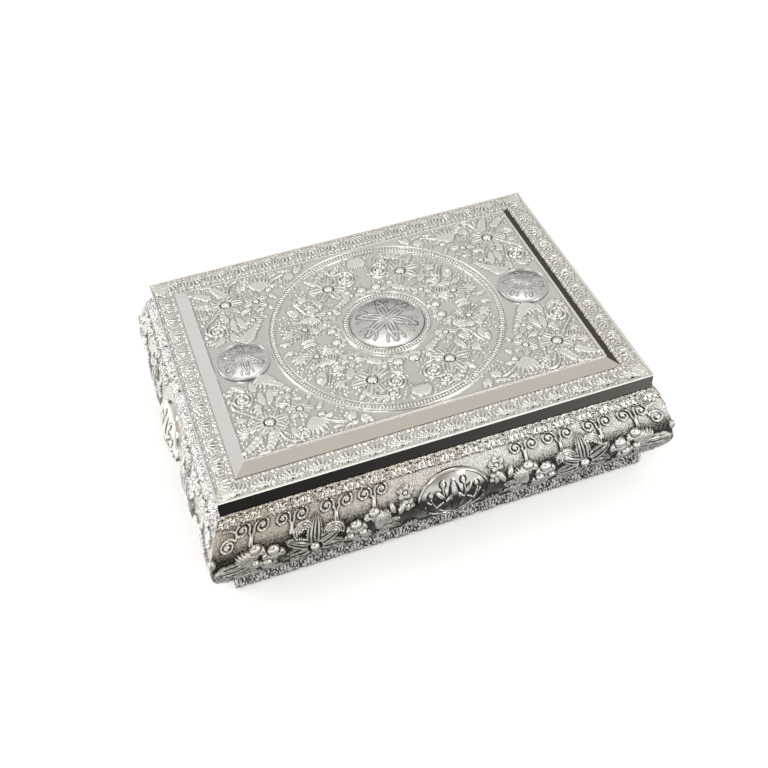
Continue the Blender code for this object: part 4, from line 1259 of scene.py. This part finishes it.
def bead_row(name, radius, size, foot, count):
    """A ring of pressed beads, long across the ring."""
    bm = bmesh.new()
    for number in range(count):
        angle = 2 * math.pi * number / count
        place = Matrix.Translation((radius * math.cos(angle), radius * math.sin(angle), foot))
        place = place @ Matrix.Rotation(angle, 4, "Z") @ Matrix.Diagonal((*size, 1))
        bmesh.ops.create_uvsphere(bm, u_segments=8, v_segments=6, radius=1, matrix=place)
    mesh = mesh_of(name, bm)
    mesh.shade_smooth()
    return new_object(name, mesh)


# Outer radius, width, bead count and half sizes of a bead, and the widths of a ring's parts
RINGS = {
    "plaque_ring": (RING_RADIUS, 0.0058, 224, (0.00160, 0.00068, 0.00100)),
    "centre_ring": (CENTRE_RING_RADIUS, 0.0052, 82, (0.00140, 0.00068, 0.00095)),
}
RIM_WIDTH = 0.0013
LINE_WIDTH = 0.0008
BED_INSET = 0.0003


def make_rings():
    """Smooth rims and bead rows of the two applied rings."""
    foot = PLAQUE_TOP - 0.6 * MM
    bed_top = PLAQUE_TOP - 0.1 * MM
    for name, (outer, width, beads, size) in RINGS.items():
        inner = outer - width
        near = inner + BED_INSET
        far = outer - BED_INSET
        parts = {
            "rim": half_round(outer - RIM_WIDTH, outer, foot, PLAQUE_TOP + 1.2 * MM),
            "line": half_round(inner, inner + LINE_WIDTH, foot, PLAQUE_TOP + 0.7 * MM),
            "bed": [(near, foot), (near, bed_top), (far, bed_top), (far, foot), (near, foot)],
        }
        for part, section in parts.items():
            material = GROOVE if part == "bed" else BEADED
            give(spun(f"{name}_{part}", section, 240), "lid", material, "satin_silver", name)
        middle = (inner + LINE_WIDTH + outer - RIM_WIDTH) / 2
        row = bead_row(f"{name}_beads", middle, size, PLAQUE_TOP, beads)
        give(row, "lid", BEADED, "satin_silver", name)


def compass_rosette(relief, radius, wire, rise):
    """The six-petalled figure that a pair of compasses draws, with a leaf in each petal and arcs between."""
    reach = radius * 0.80
    near = reach * 0.10
    far = reach * 0.78
    for number in range(6):
        turn = 60 * number + 30
        way = np.array((math.cos(math.radians(turn)), math.sin(math.radians(turn))))
        relief.arches(*(reach * way), turn + 180, 60.5, (reach,), wire, rise)
        relief.arches(*(reach * way), turn + 180, 100, (reach * 0.30,), wire * 0.8, rise * 0.9)
        relief.stem((near * way, near * way, far * way, far * way), wire * 1.4, wire * 0.5, rise * 0.8, 1)
        relief.bead(*(reach * way), wire * 1.7, rise * 1.2)
    relief.bead(0, 0, wire * 2.0, rise * 1.4)


# Place along the lid, radius, rise, figure's wire in millimetres, and the rim's share of the radius
MEDALLIONS = {
    "centre": (0.0, MEDALLION_RADIUS, 0.0034, 0.7, 0.04),
    "left": (-SIDE_CENTRE, SIDE_RADIUS, 0.0024, 0.5, 0.09),
    "right": (SIDE_CENTRE, SIDE_RADIUS, 0.0024, 0.5, 0.09),
}

# Where a dome starts, and its steps from middle to rim, round the dome and over the rim
DOME_FOOT = PLAQUE_TOP + 0.9 * MM
DOME_RINGS = 72
DOME_STEPS = 300
RIM_STEPS = 6


def domed_disc(name, middle, radius, rise, wire, rim):
    """A domed disc with a compass rosette chased on it and a smooth rim."""
    inner = radius * (1 - rim)
    half = radius * rim / 2
    profile = []
    for step in range(DOME_RINGS + 1):
        share = step / DOME_RINGS
        profile.append((inner * share, DOME_FOOT + rise * (1 - share**2)))
    for step in range(1, RIM_STEPS + 1):
        angle = math.pi * step / RIM_STEPS
        profile.append((radius - half - half * math.cos(angle), DOME_FOOT + half * math.sin(angle)))
    profile.append((radius, DOME_FOOT - 0.9 * MM))
    obj = spun(name, profile, DOME_STEPS, middle)
    flat = places(obj.data)
    x = (flat[:, 0] - middle) / MM
    y = flat[:, 1] / MM
    figure = Relief(x, y, 0.0)
    halo = Relief(x, y, 0.0)
    size = inner / MM
    compass_rosette(figure, size, wire, wire * 0.8)
    compass_rosette(halo, size, wire * 2.2, wire * 0.8)
    flat[:, 2] += np.where(np.hypot(x, y) < size - 0.3, np.maximum(figure.height, 0), 0) * MM
    reshape(obj.data, flat)
    mark_figure(obj.data, figure, halo)
    obj.data.shade_smooth()
    return obj


def make_medallions():
    """The three domed medallions with plain geometric figures."""
    for name, sizes in MEDALLIONS.items():
        node = "centre_medallion" if name == "centre" else f"side_medallion_{name}"
        give(domed_disc(f"rosette_{name}", *sizes), "lid", MEDALLION, "mirror_silver", node)


# Root, heading and length of the spray's leaves
SPRAY_LEAVES = (
    (6.6, -8.5, 96, 8.0), (12.0, -4.5, 52, 7.0), (11.5, -5.5, 130, 6.5), (5.6, -2.5, 118, 7.0),
    (6.8, 2.0, 48, 7.0), (14.5, 2.5, 100, 5.0), (6.6, 8.0, 100, 4.5), (14.0, -11.0, 20, 4.5),
)


def leaf_spray(relief, wire):
    """Curved stems that rise from one root, with leaves, mirrored at the middle."""
    relief.x = np.abs(relief.x)
    rise = 1.1
    relief.stem(((0, -12.5), (6, -11.5), (12.5, -6), (14.5, 3)), 1.2 * wire, 0.5 * wire, rise)
    relief.stem(((0, -12.5), (3, -7), (7.5, -1), (6.5, 9)), 1.1 * wire, 0.5 * wire, rise)
    relief.stem(((0, -13), (9, -14), (16, -9.5), (18, -2.5)), 0.9 * wire, 0.4 * wire, rise)
    relief.leaf(0, -10, 90, 22, 4.6 * wire, rise, rim=1.0)
    for *root, heading, length in SPRAY_LEAVES:
        relief.leaf(*root, heading, length, 2.6 * wire, rise * 0.9)
    return relief


# Steps of an oval from middle to rim, and round it
OVAL_RINGS = 60
OVAL_STEPS = 180


def oval_sheet():
    """A round sheet of unit radius with its rim drawn back."""
    bm = bmesh.new()
    turn_line(bm, [(ring / OVAL_RINGS, 0, 0) for ring in range(OVAL_RINGS + 1)], OVAL_STEPS, 1e-5)
    draw_back(bm)
    bmesh.ops.recalc_face_normals(bm, faces=bm.faces[:])
    if bm.faces[0].normal.z < 0:
        bmesh.ops.reverse_faces(bm, faces=bm.faces[:])
    return bm


def make_cartouches():
    """The oval domes in the middle of each side, with a plain leaf spray."""
    low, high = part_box("cartouche_front")
    half_width = high[0] / MM
    middle = (low[2] + high[2]) / 2
    half_height = (high[2] - low[2]) / 2
    for side in SIDES:
        name = f"oval_{side}"
        mesh = mesh_of(name, oval_sheet())
        across, up, forward = places(mesh).T
        x = across * half_width
        y = up * half_height / MM
        relief = leaf_spray(Relief(x, y, 0.0), 1.0)
        halo = leaf_spray(Relief(x, y, 0.0), 1.9)
        reach = np.hypot(across, up)
        rim_rise = 0.8 * np.sqrt(np.maximum(1 - ((reach - 0.965) / 0.035) ** 2, 0))
        lift = 0.9 + 3.2 * (1 - reach**2) + np.maximum(np.where(reach < 0.92, relief.height, 0), rim_rise)
        lift = np.where(forward < -0.5, -1.0, lift)
        z = middle + half_height * up
        spread = np.array([spread_at(float(value)) for value in z])
        reshape(mesh, on_body(side, x * MM, spread + lift * MM, z))
        # Painted shade beside the spray and where the oval turns under
        mark_figure(mesh, relief, halo)
        dim = DIM_OVAL if side in LONG_SIDES else DIM_SHORT
        give_shade(mesh, BodyStrip(side, belly_line(), dim), relief.dark)
        give(new_object(name, mesh), "body", CARTOUCHE, "mirror_silver", f"cartouche_{side}")


# The stitched line inside the lid pad's edge
STITCH_INSET = 0.012
STITCH_WIDTH = 0.0009
STITCH_DEPTH = 0.00035

# How far the floor's velvet runs on under the walls' velvet, and half the thickness of a wall's card
LINING_LAP = 0.0002
HALF_CARD = 0.0006


def soft_slab(name, low, high, place, spacing, edge, waver, crown=0.0, stitched=False):
    """A cushioned slab between two corners, with rounded edges and a slightly uneven face.

    The place turns points in metres, with the face at the top, into world places.
    """
    bm = bmesh.new()
    size = [(high[axis] - low[axis]) / 2 for axis in range(3)]
    middle = [(high[axis] + low[axis]) / 2 for axis in range(3)]
    columns = max(4, round(2 * size[0] / spacing))
    rows = max(4, round(2 * size[1] / spacing))
    bmesh.ops.create_grid(bm, x_segments=columns, y_segments=rows, size=1)
    draw_back(bm)
    bmesh.ops.holes_fill(bm, edges=[item for item in bm.edges if item.is_boundary], sides=0)
    bmesh.ops.recalc_face_normals(bm, faces=bm.faces[:])
    mesh = mesh_of(name, bm)
    across, up, forward = places(mesh).T
    x = across * size[0]
    y = up * size[1]
    inset = np.minimum(size[0] - np.abs(x), size[1] - np.abs(y))
    round_off = edge * (1 - np.sqrt(np.clip(1 - (1 - np.clip(inset / edge, 0, 1)) ** 2, 0, 1)))
    waves = np.sin(x * 61 + 1.3) * np.sin(y * 83 + 0.4) + 0.5 * np.sin(x * 127 + y * 149)
    top = high[2] - round_off - crown * (1 - smooth_step(inset / (12 * edge)))
    top = top + waver * waves * smooth_step(inset / 0.01)
    if stitched:
        top = top - STITCH_DEPTH * np.exp(-(((inset - STITCH_INSET) / STITCH_WIDTH) ** 2))
    z = np.where(forward > -0.5, top, low[2])
    reshape(mesh, place(np.stack((x + middle[0], y + middle[1], z), axis=1)))
    return new_object(name, mesh)


def turned_down(low, high):
    """The place of a slab whose soft face looks down."""

    def place(points):
        return np.stack((points[:, 0], -points[:, 1], low[2] + high[2] - points[:, 2]), axis=1)

    return place


def upright(side, low, high):
    """The place of a card that stands against a wall, and its corners as it lies flat."""
    turn = SIDES[side][0]
    along, across = (0, 1) if side in LONG_SIDES else (1, 0)
    depth = abs(high[across] + low[across]) / 2
    middle = (low[2] + high[2]) / 2
    half = ((high[along] - low[along]) / 2, (high[2] - low[2]) / 2, HALF_CARD)

    def place(points):
        x, y, z = points.T
        back = z - depth
        east = x * math.cos(turn) - back * math.sin(turn)
        north = x * math.sin(turn) + back * math.cos(turn)
        return np.stack((east, north, middle + y), axis=1)

    return place, tuple(-value for value in half), half


def make_soft_parts():
    """The padded lid lining, the velvet-covered cards of the well, and the felt sole."""
    low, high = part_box("lid_pad")
    place = turned_down(low, high)
    pad = soft_slab(
        "velvet_pad", low, high, place, spacing=0.0016, edge=0.0011, waver=0.00004,
        crown=0.0008, stitched=True,
    )
    give(pad, "lid", VELVET, "velvet", "lid_pad")
    low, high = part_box("lining_floor")
    low = (low[0] - LINING_LAP, low[1] - LINING_LAP, low[2])
    high = (high[0] + LINING_LAP, high[1] + LINING_LAP, high[2])
    floor = soft_slab(
        "velvet_floor", low, high, lambda points: points, spacing=0.0020, edge=0.0006, waver=0.00005
    )
    give(floor, "body", VELVET, "velvet", "lining_floor")
    for side in SIDES:
        place, low, high = upright(side, *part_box(f"lining_{side}"))
        card = soft_slab(f"velvet_{side}", low, high, place, spacing=0.0018, edge=0.0005, waver=0.00004)
        give(card, "body", VELVET, "velvet", f"lining_{side}")
    low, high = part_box("base_felt")
    place = turned_down(low, high)
    felt = soft_slab("felt_sole", low, high, place, spacing=0.0024, edge=0.0005, waver=0.0)
    give(felt, "body", FELT, "felt", "base_felt")


def dress_solids():
    """Finishes for the solids that show as they are."""
    finishes = {
        "lid_band_left": POLISHED, "lid_band_right": POLISHED, "lid_band": BAND, "lid_bevel": POLISHED,
        "hinge_pin": STEEL, "hinge": BRASS, "wall": WOOD, "base_board": WOOD, "lid_board": WOOD,
    }
    for name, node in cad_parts.items():
        for start, material in finishes.items():
            if name.startswith(start):
                for slot in node.material_slots:
                    slot.material = material
                break


FLOOR_SIZE = 2.4
FLOOR_LIFT = 0.47
WHITE = (1.0, 1.0, 1.0)

# Name, place, width and depth, brightness, colour
LAMPS = (
    ("key", (-0.60, -0.70, 1.40), (0.50, 0.40), 4.2, (1.0, 0.98, 0.95)),
    ("left", (-1.35, 0.45, 0.85), (0.5, 0.5), 3.6, (0.98, 0.99, 1.0)),
    ("front", (0.85, -1.25, 0.75), (0.8, 0.35), 4.5, (1.0, 0.98, 0.95)),
    ("over", (0.12, 0.36, 1.45), (1.10, 0.30), 1.9, (1.0, 0.99, 0.97)),
)
SKY_SIDE = (0.80, 0.79, 0.78)
SKY_TOP = (0.61, 0.57, 0.51)
SKY_CORNER = (0.085, 0.070, 0.058)
SKY_FRONT = (0.30, 0.285, 0.26)


def make_floor():
    """A pale floor, lifted to white where it is seen, that keeps the shadow."""
    bm = bmesh.new()
    bmesh.ops.create_grid(bm, x_segments=2, y_segments=2, size=FLOOR_SIZE)
    mesh = mesh_of("floor", bm)
    floor = new_object("floor", mesh)
    shader = Shader("pale floor")
    path = shader.add("ShaderNodeLightPath")
    seen = shader.sum(path.outputs["Is Camera Ray"], path.outputs["Is Glossy Ray"])
    seen = shader.sum(seen, path.outputs["Is Transmission Ray"], clamp=True)
    shader.join((*WHITE, 1.0), shader.surface.inputs["Emission Color"])
    shader.join(shader.sum(seen, FLOOR_LIFT, "MULTIPLY"), shader.surface.inputs["Emission Strength"])
    mesh.materials.append(shader.finish((0.90, 0.90, 0.90), 0.95, Specular_IOR_Level=0.0))


def make_lamps():
    for name, place, size, brightness, colour in LAMPS:
        data = bpy.data.lights.new(name, "AREA")
        data.shape = "RECTANGLE"
        data.size, data.size_y = size
        data.energy = brightness * math.pi * size[0] * size[1]
        data.color = colour
        lamp = bpy.data.objects.new(name, data)
        bpy.context.scene.collection.objects.link(lamp)
        lamp.location = place
        lamp.rotation_euler = Vector(place).to_track_quat("Z", "Y").to_euler()


def make_sky():
    """A soft tent, white where it is seen: pale sides, a warmer roof and one dark low corner behind."""
    world = bpy.data.worlds.new("studio")
    bpy.context.scene.world = world
    shader = Shader("studio", world)
    axes = shader.split()
    toward = shader.sum(shader.sum(axes["X"], 0.58, "MULTIPLY"), shader.sum(axes["Y"], 0.81, "MULTIPLY"))
    toward = shader.span(toward, 0.25, 0.80, smooth=True)
    low = shader.span(axes["Z"], 0.16, 0.46, 1.0, 0.0, smooth=True)
    corner = shader.sum(toward, low, "MULTIPLY")
    colour = shader.blend(shader.span(axes["Z"], 0.35, 0.95, smooth=True), SKY_SIDE, SKY_TOP)
    colour = shader.blend(corner, colour, SKY_CORNER)
    lean = shader.sum(shader.sum(axes["Y"], -0.80, "MULTIPLY"), shader.sum(axes["Z"], 0.60, "MULTIPLY"))
    lean = shader.sum(lean, shader.sum(axes["X"], -0.10, "MULTIPLY"))
    colour = shader.blend(shader.span(lean, 0.88, 0.98, smooth=True), colour, SKY_FRONT)
    path = shader.add("ShaderNodeLightPath")
    colour = shader.blend(path.outputs["Is Camera Ray"], colour, WHITE)
    shader.join(colour, shader.nodes["Background"].inputs["Color"])
    bpy.context.scene.view_settings.view_transform = "Standard"


def build_studio():
    make_floor()
    make_lamps()
    make_sky()


set_camera()
build_studio()
dress_solids()
make_covers()
make_friezes()
make_plinths()
make_border()
make_plaque()
make_rings()
make_medallions()
make_cartouches()
make_soft_parts()
